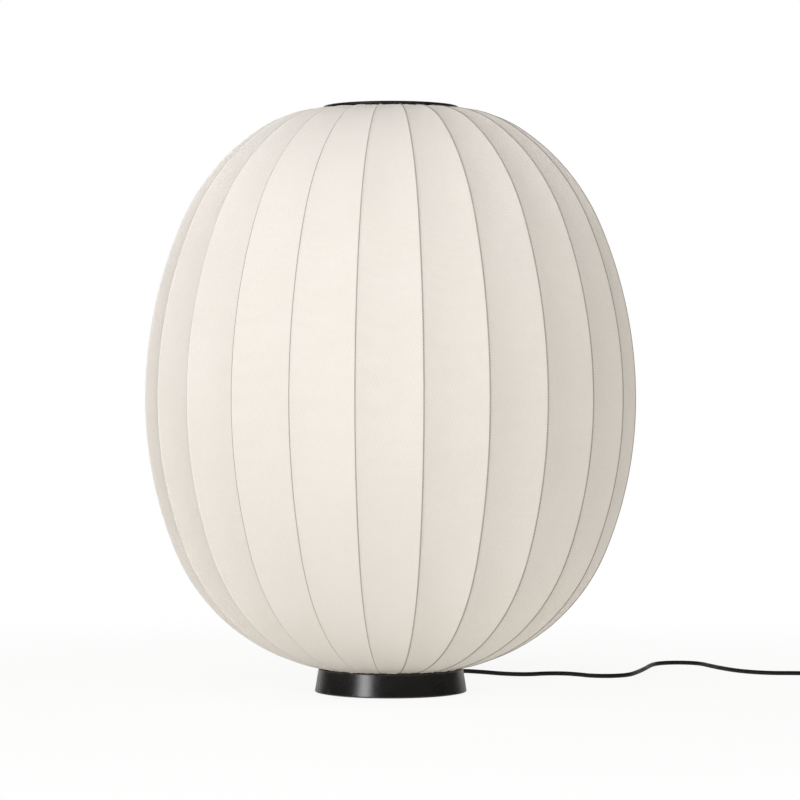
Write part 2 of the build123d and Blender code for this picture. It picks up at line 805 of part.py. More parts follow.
# Metal screw shell that the bulb's cap turns into
with BuildPart() as screw_shell:
    with BuildSketch(Plane.XY.offset(core_top)):
        Circle(screw_shell_bore_radius + screw_shell_wall)
        Circle(screw_shell_bore_radius, mode=Mode.SUBTRACT)
    extrude(amount=screw_shell_height)
screw_shell.part.label = "screw_shell"
export_step(screw_shell.part, "parts/screw_shell.step")

# Centre contact under the bulb's tip
with BuildPart() as centre_contact:
    with BuildSketch(Plane.XY.offset(core_top)):
        Circle(contact_radius)
    extrude(amount=contact_height)
    fillet(centre_contact.edges().group_by(Axis.Z)[-1], contact_round)
centre_contact.part.label = "centre_contact"
export_step(centre_contact.part, "parts/centre_contact.step")

# Bulb: insulating foot with its tip
with BuildPart() as bulb_contact:
    with BuildSketch(Plane.XZ):
        with BuildLine():
            Polyline(
                (0, bulb_foot),
                (bulb_tip_radius, bulb_foot),
                (bulb_tip_radius, bulb_foot + bulb_tip_height),
                (bulb_foot_radius, bulb_cap_foot),
                (0, bulb_cap_foot),
                close=True,
            )
        make_face()
    revolve(axis=Axis.Z)
bulb_contact.part.label = "bulb_contact"
export_step(bulb_contact.part, "parts/bulb_contact.step")

# Bulb: metal screw cap
with BuildPart() as bulb_cap:
    with BuildSketch(Plane.XZ):
        with BuildLine():
            Polyline(
                (bulb_foot_radius - bulb_cap_lip, bulb_cap_foot),
                (bulb_cap_radius - bulb_cap_bevel, bulb_cap_foot),
                (bulb_cap_radius, bulb_cap_foot + bulb_cap_bevel),
                (bulb_cap_radius, bulb_cap_top),
                (bulb_cap_radius - bulb_cap_wall, bulb_cap_top),
                (bulb_cap_radius - bulb_cap_wall, bulb_cap_foot + bulb_cap_wall + bulb_cap_bevel),
                (bulb_cap_radius - bulb_cap_wall - bulb_cap_bevel, bulb_cap_foot + bulb_cap_wall),
                (bulb_foot_radius - bulb_cap_lip, bulb_cap_foot + bulb_cap_wall),
                close=True,
            )
        make_face()
    revolve(axis=Axis.Z)
bulb_cap.part.label = "bulb_cap"
export_step(bulb_cap.part, "parts/bulb_cap.step")

# Bulb: white plastic collar that carries the globe
with BuildPart() as bulb_collar:
    with BuildSketch(Plane.XZ):
        with BuildLine():
            Polyline(
                (collar_bore_radius, bulb_cap_top),
                (collar_foot_radius, bulb_cap_top),
                (collar_foot_radius, collar_skirt_top),
            )
            Spline(
                (collar_foot_radius, collar_skirt_top),
                (bulb_collar_radius, bulb_collar_top),
                tangents=[(bulb_collar_foot_flare, 1), (bulb_collar_top_flare, 1)],
            )
            Line((bulb_collar_radius, bulb_collar_top), (collar_top_bore_radius, bulb_collar_top))
            Spline(
                (collar_top_bore_radius, bulb_collar_top),
                (collar_bore_radius, collar_skirt_top),
                tangents=[(-bulb_collar_top_flare, -1), (-bulb_collar_foot_flare, -1)],
            )
            Line((collar_bore_radius, collar_skirt_top), (collar_bore_radius, bulb_cap_top))
        make_face()
    revolve(axis=Axis.Z)
bulb_collar.part.label = "bulb_collar"
export_step(bulb_collar.part, "parts/bulb_collar.step")

# Bulb: hollow opal globe
with BuildPart() as bulb_globe:
    with BuildSketch(Plane.XZ):
        with Locations((0, globe_centre)):
            Circle(bulb_globe_radius)
            Circle(bulb_globe_radius - bulb_globe_wall, mode=Mode.SUBTRACT)
        with Locations((0, bulb_collar_top)):
            Rectangle(bulb_globe_radius, globe_height, align=(Align.MIN, Align.MIN), mode=Mode.INTERSECT)
    revolve(axis=Axis.Z)
bulb_globe.part.label = "bulb_globe"
export_step(bulb_globe.part, "parts/bulb_globe.step")

# Two leads from the terminal block, up the stem to the lampholder
terminal_front = terminal_distance - terminal_size[1] / 2
with BuildPart() as stem_leads:
    for side in (-1, 1):
        lead_points = [
            (side * lead_spacing / 2, terminal_front, lead_height),
            (side * lead_spacing / 2, 0, lead_height),
            (side * lead_spacing / 2, 0, core_foot - lead_gap),
        ]
        with BuildLine() as lead_line:
            FilletPolyline(*lead_points, radius=lead_bend_radius)
        with BuildSketch(end_plane(lead_line.wire())):
            Circle(lead_diameter / 2)
        sweep()
stem_leads.part.label = "stem_leads"
export_step(stem_leads.part, "parts/stem_leads.step")

# Terminal block under the groove's roof
with BuildPart() as terminal_block:
    with BuildSketch(Plane.XY.offset(groove_roof - terminal_size[2])):
        with Locations((0, terminal_distance)):
            Rectangle(terminal_size[0], terminal_size[1])
    extrude(amount=terminal_size[2])
    fillet(terminal_block.edges().filter_by(Axis.Z), block_round)
terminal_block.part.label = "terminal_block"
export_step(terminal_block.part, "parts/terminal_block.step")

# Clamp that grips the cord inside the base
with BuildPart() as cord_grip:
    with BuildSketch(Plane.XY.offset(grip_foot)):
        with Locations((0, grip_distance)):
            Rectangle(*grip_size)
    extrude(amount=groove_roof - grip_foot)
    fillet(cord_grip.edges().filter_by(Axis.Z), block_round)
    with BuildSketch(Plane.XZ.offset(-grip_distance)):
        with Locations((0, gland_height)):
            Circle(cord_diameter / 2 + thread_gap)
    extrude(amount=grip_size[1], both=True, mode=Mode.SUBTRACT)
cord_grip.part.label = "cord_grip"
export_step(cord_grip.part, "parts/cord_grip.step")

# Cord gland: snapped into the base's back wall, with a tapered sleeve outside
with BuildPart() as cord_gland:
    with BuildSketch(Plane.YZ):
        with BuildLine():
            Polyline(
                (inner_flange_face, gland_height + cord_diameter / 2 + thread_gap),
                (inner_flange_face, gland_height + gland_inner_flange_radius),
                (inner_flange_face + gland_inner_flange_thickness, gland_height + gland_inner_flange_radius),
                (inner_flange_face + gland_inner_flange_thickness, gland_height + gland_neck_radius),
                (gland_face, gland_height + gland_neck_radius),
                (gland_face, gland_height + gland_flange_radius),
                (gland_face + gland_flange_thickness, gland_height + gland_flange_radius),
                (gland_face + gland_flange_thickness, gland_height + gland_neck_radius),
                (gland_tip, gland_height + sleeve_tip_radius),
                (gland_tip, gland_height + cord_diameter / 2 + thread_gap),
                close=True,
            )
        make_face()
    revolve(axis=Axis((0, 0, gland_height), (0, 1, 0)))
cord_gland.part.label = "cord_gland"
export_step(cord_gland.part, "parts/cord_gland.step")

# Sheathed cord through the gland and the clamp to the terminal block
with BuildPart() as cord_in_base:
    with BuildSketch(Plane.XZ.offset(-terminal_distance - terminal_size[1] / 2)):
        with Locations((0, gland_height)):
            Circle(cord_diameter / 2)
    extrude(amount=terminal_distance + terminal_size[1] / 2 - gland_tip)
cord_in_base.part.label = "cord_in_base"
export_step(cord_in_base.part, "parts/cord_in_base.step")

# Cord over the floor, from the gland to the foot switch
with BuildPart() as cord_to_switch:
    with BuildLine() as switch_route:
        FilletPolyline(*route_to_switch, radius=bend_radii(route_to_switch))
    with BuildSketch(end_plane(switch_route.wire())):
        Circle(cord_diameter / 2)
    sweep()
report_cord("cord_to_switch", switch_route.wire(), bend_radii(route_to_switch), cord_to_switch.part)
cord_to_switch.part.label = "cord_to_switch"
export_step(cord_to_switch.part, "parts/cord_to_switch.step")

# Foot switch: lower tray with a sleeve at each end
switch_plane = Plane(origin=(switch_centre[0], switch_centre[1], 0))
with BuildPart() as switch_tray:
    with BuildSketch(switch_plane):
        RectangleRounded(switch_width, switch_length, switch_corner)
    extrude(amount=switch_tray_height)
    chamfer(switch_tray.edges().group_by(Axis.Z)[0], switch_foot_chamfer)
    with BuildSketch(switch_plane.offset(switch_wall)):
        RectangleRounded(
            switch_width - 2 * switch_wall,
            switch_length - 2 * switch_wall,
            switch_corner - switch_wall,
        )
    extrude(amount=switch_tray_height, mode=Mode.SUBTRACT)
    for direction in (-1, 1):
        end_face = Plane(
            origin=(switch_centre[0], switch_centre[1] + direction * switch_length / 2, switch_cord_height),
            z_dir=(0, direction, 0),
        )
        with BuildSketch(end_face):
            Circle(cord_diameter / 2 + sleeve_base_wall)
        with BuildSketch(end_face.offset(sleeve_length)):
            Circle(sleeve_tip_radius)
        loft()
switch_tray.part.label = "switch_tray"
export_step(switch_tray.part, "parts/switch_tray.step")

# Foot switch: upper cover with a round hole for the button
with BuildPart() as switch_cover:
    with BuildSketch(switch_plane.offset(switch_tray_height)):
        RectangleRounded(switch_width, switch_length, switch_corner)
    extrude(amount=switch_height - switch_tray_height)
    fillet(switch_cover.edges().group_by(Axis.Z)[-1], switch_top_round)
    with BuildSketch(switch_plane.offset(switch_tray_height)):
        RectangleRounded(
            switch_width - 2 * switch_wall,
            switch_length - 2 * switch_wall,
            switch_corner - switch_wall,
        )
    extrude(amount=switch_height - switch_tray_height - switch_wall, taper=switch_draft, mode=Mode.SUBTRACT)
    with BuildSketch(switch_plane.offset(switch_tray_height)):
        Circle(button_radius + button_gap)
    extrude(amount=switch_height, mode=Mode.SUBTRACT)
switch_cover.part.label = "switch_cover"
export_step(switch_cover.part, "parts/switch_cover.step")

# Foot switch: push button with its retaining flange and stem
with BuildPart() as foot_button:
    with BuildSketch(switch_plane.offset(flange_foot)):
        Circle(button_radius)
    extrude(amount=switch_height + button_rise - flange_foot)
    fillet(foot_button.edges().group_by(Axis.Z)[-1], button_round)
    with BuildSketch(switch_plane.offset(flange_foot)):
        Circle(button_flange_radius)
    extrude(amount=button_flange_thickness)
    with BuildSketch(switch_plane.offset(flange_foot - button_stem_length)):
        Circle(button_stem_radius)
    extrude(amount=button_stem_length)
foot_button.part.label = "foot_button"
export_step(foot_button.part, "parts/foot_button.step")

# Foot switch: return spring round the button's stem
spring_points = []
spring_tangents = []
for quarter in range(spring_turns * 4 + 1):
    turn = math.pi / 2 * quarter
    climb = (spring_head - spring_foot) / (spring_turns * 4)
    spring_points.append(
        Vector(
            switch_centre[0] + spring_radius * math.cos(turn),
            switch_centre[1] + spring_radius * math.sin(turn),
            spring_foot + climb * quarter,
        )
    )
    rise = climb / (spring_radius * math.pi / 2)
    spring_tangents.append(Vector(-math.sin(turn), math.cos(turn), rise).normalized())
with BuildPart() as button_spring:
    with BuildLine() as spring_line:
        draw_biarcs(spring_points, spring_tangents)
    with BuildSketch(end_plane(spring_line.wire())):
        Circle(spring_wire / 2)
    sweep()
print(f"button_spring: least gap to itself {least_gap(spring_line.wire(), spring_wire):.2f}")
button_spring.part.label = "button_spring"
export_step(button_spring.part, "parts/button_spring.step")

# Foot switch: contact blocks in the tray
with BuildPart() as switch_contacts:
    with BuildSketch(switch_plane.offset(switch_wall)):
        with Locations((0, -contact_block_offset), (0, contact_block_offset)):
            Rectangle(contact_block[0], contact_block[1])
    extrude(amount=contact_block[2])
    fillet(switch_contacts.edges().filter_by(Axis.Z), contact_block_round)
switch_contacts.part.label = "switch_contacts"
export_step(switch_contacts.part, "parts/switch_contacts.step")

# Cord from the foot switch to the coil
with BuildPart() as cord_to_coil:
    with BuildLine() as coil_route:
        FilletPolyline(*route_to_coil, radius=bend_radii(route_to_coil))
    with BuildSketch(end_plane(coil_route.wire())):
        Circle(cord_diameter / 2)
    sweep()
report_cord("cord_to_coil", coil_route.wire(), bend_radii(route_to_coil), cord_to_coil.part)
cord_to_coil.part.label = "cord_to_coil"
export_step(cord_to_coil.part, "parts/cord_to_coil.step")

# Coil: the cord spirals in on the floor, climbs a layer in the middle half turn, and
# spirals out again on top. The radius grows by one pitch a turn on each side of the middle.
coil_pitch = cord_diameter + coil_pitch_gap
coil_middle = coil_turns / 2
coil_outer_radius = coil_inner_radius + coil_pitch * coil_middle
coil_centre = (coil_start[0] - coil_outer_radius, coil_start[1])
coil_points = []
coil_tangents = []
for quarter in range(coil_turns * 4 + 1):
    turns = quarter / 4
    angle = -2 * math.pi * turns
    radius = coil_inner_radius + coil_pitch * abs(turns - coil_middle)
    climbed = min(max((turns - coil_middle) / climb_turns + 1 / 2, 0), 1)
    swelling = coil_pitch / (2 * math.pi) * ((turns > coil_middle) - (turns < coil_middle))
    rising = coil_pitch / (2 * math.pi * climb_turns) * (turns == coil_middle)
    coil_points.append(
        Vector(
            coil_centre[0] + radius * math.cos(angle),
            coil_centre[1] + radius * math.sin(angle),
            floor_height + climbed * coil_pitch,
        )
    )
    level = quarter in (0, coil_turns * 4)
    outwards = Vector(math.cos(angle), math.sin(angle), 0) * (0 if level else swelling / radius)
    upwards = Vector(0, 0, rising / radius)
    coil_tangents.append((Vector(math.sin(angle), -math.cos(angle), 0) + outwards + upwards).normalized())
straight = Vector(0, cord_diameter, 0)
with BuildPart() as cord_coil:
    with BuildLine() as coil_line:
        Line(coil_points[0] + straight, coil_points[0])
        draw_biarcs(coil_points, coil_tangents)
        Line(coil_points[-1], coil_points[-1] - straight)
    with BuildSketch(end_plane(coil_line.wire())):
        Circle(cord_diameter / 2)
    sweep()
report_cord("cord_coil", coil_line.wire(), [coil_inner_radius, coil_outer_radius], cord_coil.part)
print(f"cord_coil: least gap to itself {least_gap(coil_line.wire(), cord_diameter):.2f}")
cord_coil.part.label = "cord_coil"
export_step(cord_coil.part, "parts/cord_coil.step")

# Cord from the coil down to the plug
with BuildPart() as cord_to_plug:
    with BuildLine() as plug_route:
        FilletPolyline(*route_to_plug, radius=bend_radii(route_to_plug))
    with BuildSketch(end_plane(plug_route.wire())):
        Circle(cord_diameter / 2)
    sweep()
report_cord("cord_to_plug", plug_route.wire(), bend_radii(route_to_plug), cord_to_plug.part)
cord_to_plug.part.label = "cord_to_plug"
export_step(cord_to_plug.part, "parts/cord_to_plug.step")

# Plug: flat two-pin body with a tapered sleeve
plug_back = plug_entry[1] - plug_sleeve_length
plug_face = plug_back - plug_length
plug_face_plane = Plane(origin=(plug_entry[0], plug_face, plug_height), x_dir=(1, 0, 0), z_dir=(0, 1, 0))
with BuildPart() as plug_body:
    with BuildSketch():
        with BuildLine():
            Polyline(
                (plug_entry[0] - plug_neck_width / 2, plug_back),
                (plug_entry[0] + plug_neck_width / 2, plug_back),
                (plug_entry[0] + plug_width / 2, plug_back - plug_shoulder_length),
                (plug_entry[0] + plug_width / 2, plug_face),
                (plug_entry[0] - plug_width / 2, plug_face),
                (plug_entry[0] - plug_width / 2, plug_back - plug_shoulder_length),
                close=True,
            )
        make_face()
    extrude(amount=plug_thickness)
    fillet(plug_body.edges().filter_by(Axis.Z), plug_round)
    flat_edges = plug_body.edges().group_by(Axis.Z)
    chamfer(flat_edges[-1] + flat_edges[0], plug_edge_chamfer)
    sleeve_plane = Plane(origin=(plug_entry[0], plug_back, plug_height), z_dir=(0, 1, 0))
    with BuildSketch(sleeve_plane):
        Circle(cord_diameter / 2 + plug_sleeve_base_wall)
    with BuildSketch(sleeve_plane.offset(plug_sleeve_length)):
        Circle(cord_diameter / 2 + plug_sleeve_tip_wall)
    loft()
    with BuildSketch(plug_face_plane):
        with Locations((-pin_spacing / 2, 0), (pin_spacing / 2, 0)):
            Circle(pin_seat_radius + thread_gap)
    extrude(amount=pin_seat_depth, mode=Mode.SUBTRACT)
plug_body.part.label = "plug_body"
export_step(plug_body.part, "parts/plug_body.step")

# Plug: its two pins
with BuildPart() as plug_pins:
    with BuildSketch(plug_face_plane):
        with Locations((-pin_spacing / 2, 0), (pin_spacing / 2, 0)):
            Circle(pin_radius)
    extrude(amount=-pin_length)
    fillet(plug_pins.edges().group_by(Axis.Y)[0], pin_tip_round)
    with BuildSketch(plug_face_plane):
        with Locations((-pin_spacing / 2, 0), (pin_spacing / 2, 0)):
            Circle(pin_seat_radius)
    extrude(amount=pin_seat_depth)
plug_pins.part.label = "plug_pins"
export_step(plug_pins.part, "parts/plug_pins.step")
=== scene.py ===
"""Looks of a knitted floor lamp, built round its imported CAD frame.

Lengths are in metres, in the frame that the CAD parts stand in: X runs to the right, Y away from
the camera and Z up. The lamp stands on the floor at the origin.
"""

import json
import logging
import math
from dataclasses import dataclass, field
from enum import Enum

import bpy
import numpy as np
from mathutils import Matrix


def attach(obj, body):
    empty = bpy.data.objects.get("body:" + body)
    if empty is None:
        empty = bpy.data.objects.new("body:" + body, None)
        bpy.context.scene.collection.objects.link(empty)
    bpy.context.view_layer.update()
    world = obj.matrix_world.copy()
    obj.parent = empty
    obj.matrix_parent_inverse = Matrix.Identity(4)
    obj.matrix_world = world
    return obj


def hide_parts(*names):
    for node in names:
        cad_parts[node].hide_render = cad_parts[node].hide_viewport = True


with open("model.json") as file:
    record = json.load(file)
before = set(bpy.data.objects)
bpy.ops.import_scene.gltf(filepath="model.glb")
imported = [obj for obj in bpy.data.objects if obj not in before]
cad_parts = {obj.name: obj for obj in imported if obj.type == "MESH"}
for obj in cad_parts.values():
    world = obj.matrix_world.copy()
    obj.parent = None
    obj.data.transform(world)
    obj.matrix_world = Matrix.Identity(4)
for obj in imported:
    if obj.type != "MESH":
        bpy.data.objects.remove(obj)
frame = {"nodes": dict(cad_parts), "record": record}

log = logging.getLogger("knitted_lamp")


def linear(red: float, green: float, blue: float) -> tuple[float, float, float, float]:
    """A colour written as it looks on a screen, 0 to 255 each, as the values that a shader takes."""
    shown = np.array([red, green, blue]) / 255.0
    low = shown / 12.92
    high = ((shown + 0.055) / 1.055) ** 2.4
    return (*np.where(shown < 0.04045, low, high).tolist(), 1.0)


# Meshes


def link(name: str, data: bpy.types.ID | None) -> bpy.types.Object:
    """Puts mesh, curve, lamp or camera data into the scene as an object of that name."""
    thing = bpy.data.objects.new(name, data)
    bpy.context.scene.collection.objects.link(thing)
    return thing


def grid_faces(rows: int, columns: int, around: bool, along: bool) -> np.ndarray:
    """Four corners of each cell of a grid, as (row, column) pairs.

    Args:
        rows: number of rows of points.
        columns: number of points in a row.
        around: joins the last column to the first.
        along: joins the last row to the first.

    Returns:
        An array of cells x 4 x 2, with indices that may run one past the last row or column.
    """
    down, across = np.meshgrid(
        np.arange(rows - (not along)), np.arange(columns - (not around)), indexing="ij"
    )
    low = np.stack([down, across], -1).reshape(-1, 1, 2)
    return low + np.array([[0, 0], [0, 1], [1, 1], [1, 0]])


def skin(
    name: str,
    sheets: list[np.ndarray],
    around: bool = True,
    along: bool = True,
    loops: np.ndarray | None = None,
) -> bpy.types.Object:
    """Makes one mesh object of one or more grids of points that have the same size.

    Each cell between four neighbouring points becomes a face. The enclosed volume, a sum over the
    triangles of a . (b x c) / 6, tells whether the faces point outwards, and they are turned if
    it is negative.

    Args:
        name: the object's name.
        sheets: grids of rows x columns x 3 points.
        around: joins the last column of each grid to the first.
        along: joins the last row of each grid to the first.
        loops: rows + 1 x columns + 1 x 2 positions in the pattern that a finish follows.

    Returns:
        The new object, shaded smooth up to an edge of 40 degrees.
    """
    rows, columns = sheets[0].shape[:2]
    cells = grid_faces(rows, columns, around, along)
    corners = (cells[..., 0] % rows) * columns + cells[..., 1] % columns
    points = np.concatenate([sheet.reshape(-1, 3) for sheet in sheets])
    a, b, c, d = (sheets[0].reshape(-1, 3)[corners[:, k]] for k in range(4))
    middle = points.mean(0)
    inside = ((a - middle) * np.cross(b - middle, c - middle)).sum()
    inside += ((a - middle) * np.cross(c - middle, d - middle)).sum()
    if inside < 0:
        corners, cells = corners[:, ::-1], cells[:, ::-1]
    shift = np.arange(len(sheets))[:, None, None] * rows * columns
    faces = (corners[None] + shift).reshape(-1, 4)
    mesh = bpy.data.meshes.new(name)
    mesh.vertices.add(len(points))
    mesh.vertices.foreach_set("co", points.astype(np.float32).ravel())
    mesh.loops.add(faces.size)
    mesh.loops.foreach_set("vertex_index", faces.astype(np.int32).ravel())
    mesh.polygons.add(len(faces))
    mesh.polygons.foreach_set("loop_start", np.arange(0, faces.size, 4, dtype=np.int32))
    mesh.polygons.foreach_set("use_smooth", np.ones(len(faces), bool))
    if loops is not None:
        placed = loops[cells[..., 0], cells[..., 1]].reshape(-1, 2)
        layer = mesh.uv_layers.new(name="Loops")
        layer.uv.foreach_set("vector", np.tile(placed, (len(sheets), 1)).astype(np.float32).ravel())
    mesh.update()
    mesh.validate()
    mesh.set_sharp_from_angle(angle=math.radians(40))
    return link(name, mesh)


def turned(
    outline: np.ndarray,
    start: tuple[float, float, float],
    toward: tuple[float, float, float],
    sides: int = 48,
) -> np.ndarray:
    """Turns a closed outline about a line, as a lathe does.

    A point of the outline at (distance along, radius) becomes a circle: start + along * toward +
    radius * (cos * e1 + sin * e2), with e1 and e2 at right angles to the line.

    Args:
        outline: points x 2, as distance along the line and radius.
        start: where the line starts.
        toward: unit direction of the line.
        sides: points in each circle.

    Returns:
        A grid of outline points x sides x 3.
    """
    axis = np.array(toward, float)
    first = np.cross(axis, [0.0, 0.0, 1.0] if abs(axis[2]) < 0.9 else [1.0, 0.0, 0.0])
    first /= np.linalg.norm(first)
    second = np.cross(axis, first)
    turn = np.linspace(0, 2 * np.pi, sides, endpoint=False)[None, :, None]
    along, radius = outline[:, 0][:, None, None], outline[:, 1][:, None, None]
    return np.array(start) + along * axis + radius * (np.cos(turn) * first + np.sin(turn) * second)


def ride(piece: bpy.types.Object, body: str, slot: str, finish: bpy.types.Material) -> bpy.types.Object:
    """Gives a piece its finish and the body that it moves with, and logs the name of its slot."""
    piece.data.materials.clear()
    piece.data.materials.append(finish)
    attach(piece, body)
    log.info("piece %s rides on %s, finish %s", piece.name, body, slot)
    return piece


# Shader trees


class Tree:
    """Adds nodes to one shader tree and joins them."""

    def __init__(self, tree: bpy.types.NodeTree) -> None:
        """Starts on a tree, which is emptied."""
        self.tree = tree
        tree.nodes.clear()

    def add(self, kind: str, **settings: object) -> bpy.types.Node:
        """A new node of a kind, with its settings."""
        node = self.tree.nodes.new(kind)
        for key, value in settings.items():
            setattr(node, key, value)
        return node

    def feed(self, socket: bpy.types.NodeSocket, value: object) -> None:
        """Joins an output to a socket, or sets the socket to a plain value."""
        if isinstance(value, bpy.types.NodeSocket):
            self.tree.links.new(value, socket)
        else:
            socket.default_value = value

    def sum(self, operation: str, *values: object, clamp: bool = False) -> bpy.types.NodeSocket:
        """The result of a Math node on one to three values."""
        node = self.add("ShaderNodeMath", operation=operation, use_clamp=clamp)
        for socket, value in zip(node.inputs, values):
            self.feed(socket, value)
        return node.outputs[0]

    def spread(
        self, value: object, low: float, high: float, to_low: float, to_high: float
    ) -> bpy.types.NodeSocket:
        """A value carried smoothly from one range to another."""
        node = self.add("ShaderNodeMapRange", interpolation_type="SMOOTHSTEP")
        for socket, number in zip(node.inputs, (value, low, high, to_low, to_high)):
            self.feed(socket, number)
        return node.outputs[0]

    def mix(self, share: object, first: object, second: object) -> bpy.types.NodeSocket:
        """One colour blended into another by a share."""
        node = self.add("ShaderNodeMix", data_type="RGBA")
        self.feed(node.inputs[0], share)
        self.feed(node.inputs[6], first)
        self.feed(node.inputs[7], second)
        return node.outputs[2]

    def noise(self, vector: object, scale: float, detail: float = 3.0) -> bpy.types.NodeSocket:
        """Noise from 0 to 1 at a scale in waves per metre."""
        node = self.add("ShaderNodeTexNoise")
        self.feed(node.inputs["Vector"], vector)
        self.feed(node.inputs["Scale"], scale)
        self.feed(node.inputs["Detail"], detail)
        return node.outputs["Fac"]

    def group(self, tree: bpy.types.NodeTree, **values: object) -> bpy.types.Node:
        """Places a node group with its own values; underscores in names stand for spaces."""
        node = self.add("ShaderNodeGroup", node_tree=tree)
        for key, value in values.items():
            self.feed(node.inputs[key.replace("_", " ")], value)
        return node

    def place(self, stretch: tuple[float, float, float] = (1.0, 1.0, 1.0)) -> bpy.types.NodeSocket:
        """The point on the piece, stretched along each axis."""
        where = self.add("ShaderNodeTexCoord").outputs["Object"]
        if stretch == (1.0, 1.0, 1.0):
            return where
        mapping = self.add("ShaderNodeMapping")
        self.feed(mapping.inputs["Vector"], where)
        self.feed(mapping.inputs["Scale"], stretch)
        return mapping.outputs[0]


def new_group(
    name: str, inputs: dict[str, str], outputs: dict[str, str]
) -> tuple[bpy.types.NodeTree, Tree, dict, dict]:
    """Starts a shader node group with named sockets.

    Args:
        name: the group's name.
        inputs: socket types by input name, such as "Float" or "Vector".
        outputs: the same for the outputs.

    Returns:
        The group, a Tree on it, its inputs' sockets by name and its outputs' sockets by name.
    """
    group = bpy.data.node_groups.new(name, "ShaderNodeTree")
    for way, wanted in (("INPUT", inputs), ("OUTPUT", outputs)):
        for socket, kind in wanted.items():
            group.interface.new_socket(name=socket, in_out=way, socket_type=f"NodeSocket{kind}")
    tree = Tree(group)
    entry, leave = tree.add("NodeGroupInput"), tree.add("NodeGroupOutput")
    return group, tree, {s: entry.outputs[s] for s in inputs}, {s: leave.inputs[s] for s in outputs}


def knit_group() -> bpy.types.NodeTree:
    """Plain knit, from a position counted in stitches across and rows along.

    With a = fraction of the position across, the leg of a stitch is |2a - 1|. The yarn's height is
    (1 + cos(2 pi (along - leg / 2))) / 2, times sin(pi leg): rows of V shapes with a gap between
    the columns, each column half a row off from the last.
    """
    group, tree, given, out = new_group(
        "knit", {"Stitches": "Vector", "Slant": "Float"}, {"Height": "Float", "Gap": "Float"}
    )
    parts = tree.add("ShaderNodeSeparateXYZ")
    tree.feed(parts.inputs[0], given["Stitches"])
    side = tree.sum("FRACT", parts.outputs[0])
    leg = tree.sum("ABSOLUTE", tree.sum("MULTIPLY_ADD", side, 2.0, -1.0))
    drop = tree.sum("MULTIPLY", tree.sum("FLOOR", parts.outputs[0]), 0.5)
    dropped = tree.sum("ADD", parts.outputs[1], drop)
    row = tree.sum("SUBTRACT", dropped, tree.sum("MULTIPLY", leg, given["Slant"]))
    wave = tree.sum("COSINE", tree.sum("MULTIPLY", row, 2 * math.pi))
    yarn = tree.sum("MULTIPLY_ADD", wave, 0.5, 0.5)
    ridge = tree.sum("SINE", tree.sum("MULTIPLY", leg, math.pi))
    height = tree.sum("MULTIPLY", tree.sum("POWER", yarn, 0.7), tree.sum("POWER", ridge, 0.6))
    tree.feed(out["Height"], height)
    tree.feed(out["Gap"], tree.spread(height, 0.0, 0.45, 1.0, 0.0))
    return group


def grain_group() -> bpy.types.NodeTree:
    """Fine grain for height and slow patches for colour and gloss, both from 0 to 1."""
    group, tree, given, out = new_group(
        "grain",
        {"Point": "Vector", "Fine": "Float", "Slow": "Float"},
        {"Height": "Float", "Patches": "Float"},
    )
    tree.feed(out["Height"], tree.noise(given["Point"], given["Fine"], 4.0))
    slow = tree.noise(given["Point"], given["Slow"], 3.0)
    tree.feed(out["Patches"], tree.spread(slow, 0.3, 0.7, 0.0, 1.0))
    return group


def rub_group() -> bpy.types.NodeTree:
    """Rubbed edges: a mask that is strongest at two heights and is broken up by noise."""
    group, tree, given, out = new_group(
        "rub", {"Point": "Vector", "Low": "Float", "High": "Float", "Reach": "Float"}, {"Mask": "Float"}
    )
    parts = tree.add("ShaderNodeSeparateXYZ")
    tree.feed(parts.inputs[0], given["Point"])
    off_low = tree.sum("ABSOLUTE", tree.sum("SUBTRACT", parts.outputs[2], given["Low"]))
    off_high = tree.sum("ABSOLUTE", tree.sum("SUBTRACT", parts.outputs[2], given["High"]))
    nearest = tree.sum("MINIMUM", off_low, off_high)
    close = tree.sum("SUBTRACT", 1.0, tree.sum("DIVIDE", nearest, given["Reach"]), clamp=True)
    broken = tree.spread(tree.noise(given["Point"], 420.0, 5.0), 0.42, 0.68, 0.0, 1.0)
    tree.feed(out["Mask"], tree.sum("MULTIPLY", close, broken))
    return group


KNIT = knit_group()
GRAIN = grain_group()
RUB = rub_group()


class Lay(Enum):
    """Which way a finish's marks run."""

    EVEN = (1.0, 1.0, 1.0)
    UPRIGHT = (1.0, 1.0, 0.03)
    ROUND = (0.04, 0.04, 1.0)


@dataclass(frozen=True)
class Finish:
    """What every finish has: a colour, a roughness and the way that its marks run."""

    colour: tuple[float, float, float]
    roughness: float = 0.5
    lay: Lay = Lay.EVEN

    def start(self, name: str) -> tuple[bpy.types.Material, Tree, bpy.types.Node]:
        """A new material with its Principled shader, ready for its nodes."""
        material = bpy.data.materials.new(name)
        material.use_nodes = True
        tree = Tree(material.node_tree)
        shader = tree.add("ShaderNodeBsdfPrincipled")
        tree.feed(tree.add("ShaderNodeOutputMaterial").inputs[0], shader.outputs[0])
        return material, tree, shader

    def bump(
        self, tree: Tree, shader: bpy.types.Node, height: object, depth: float, below: object = None
    ) -> object:
        """Adds a height of a depth in metres to the shader's normal, on top of an earlier one."""
        node = tree.add("ShaderNodeBump")
        node.inputs["Distance"].default_value = depth
        tree.feed(node.inputs["Height"], height)
        if below is not None:
            tree.feed(node.inputs["Normal"], below)
        tree.feed(shader.inputs["Normal"], node.outputs[0])
        return node.outputs[0]


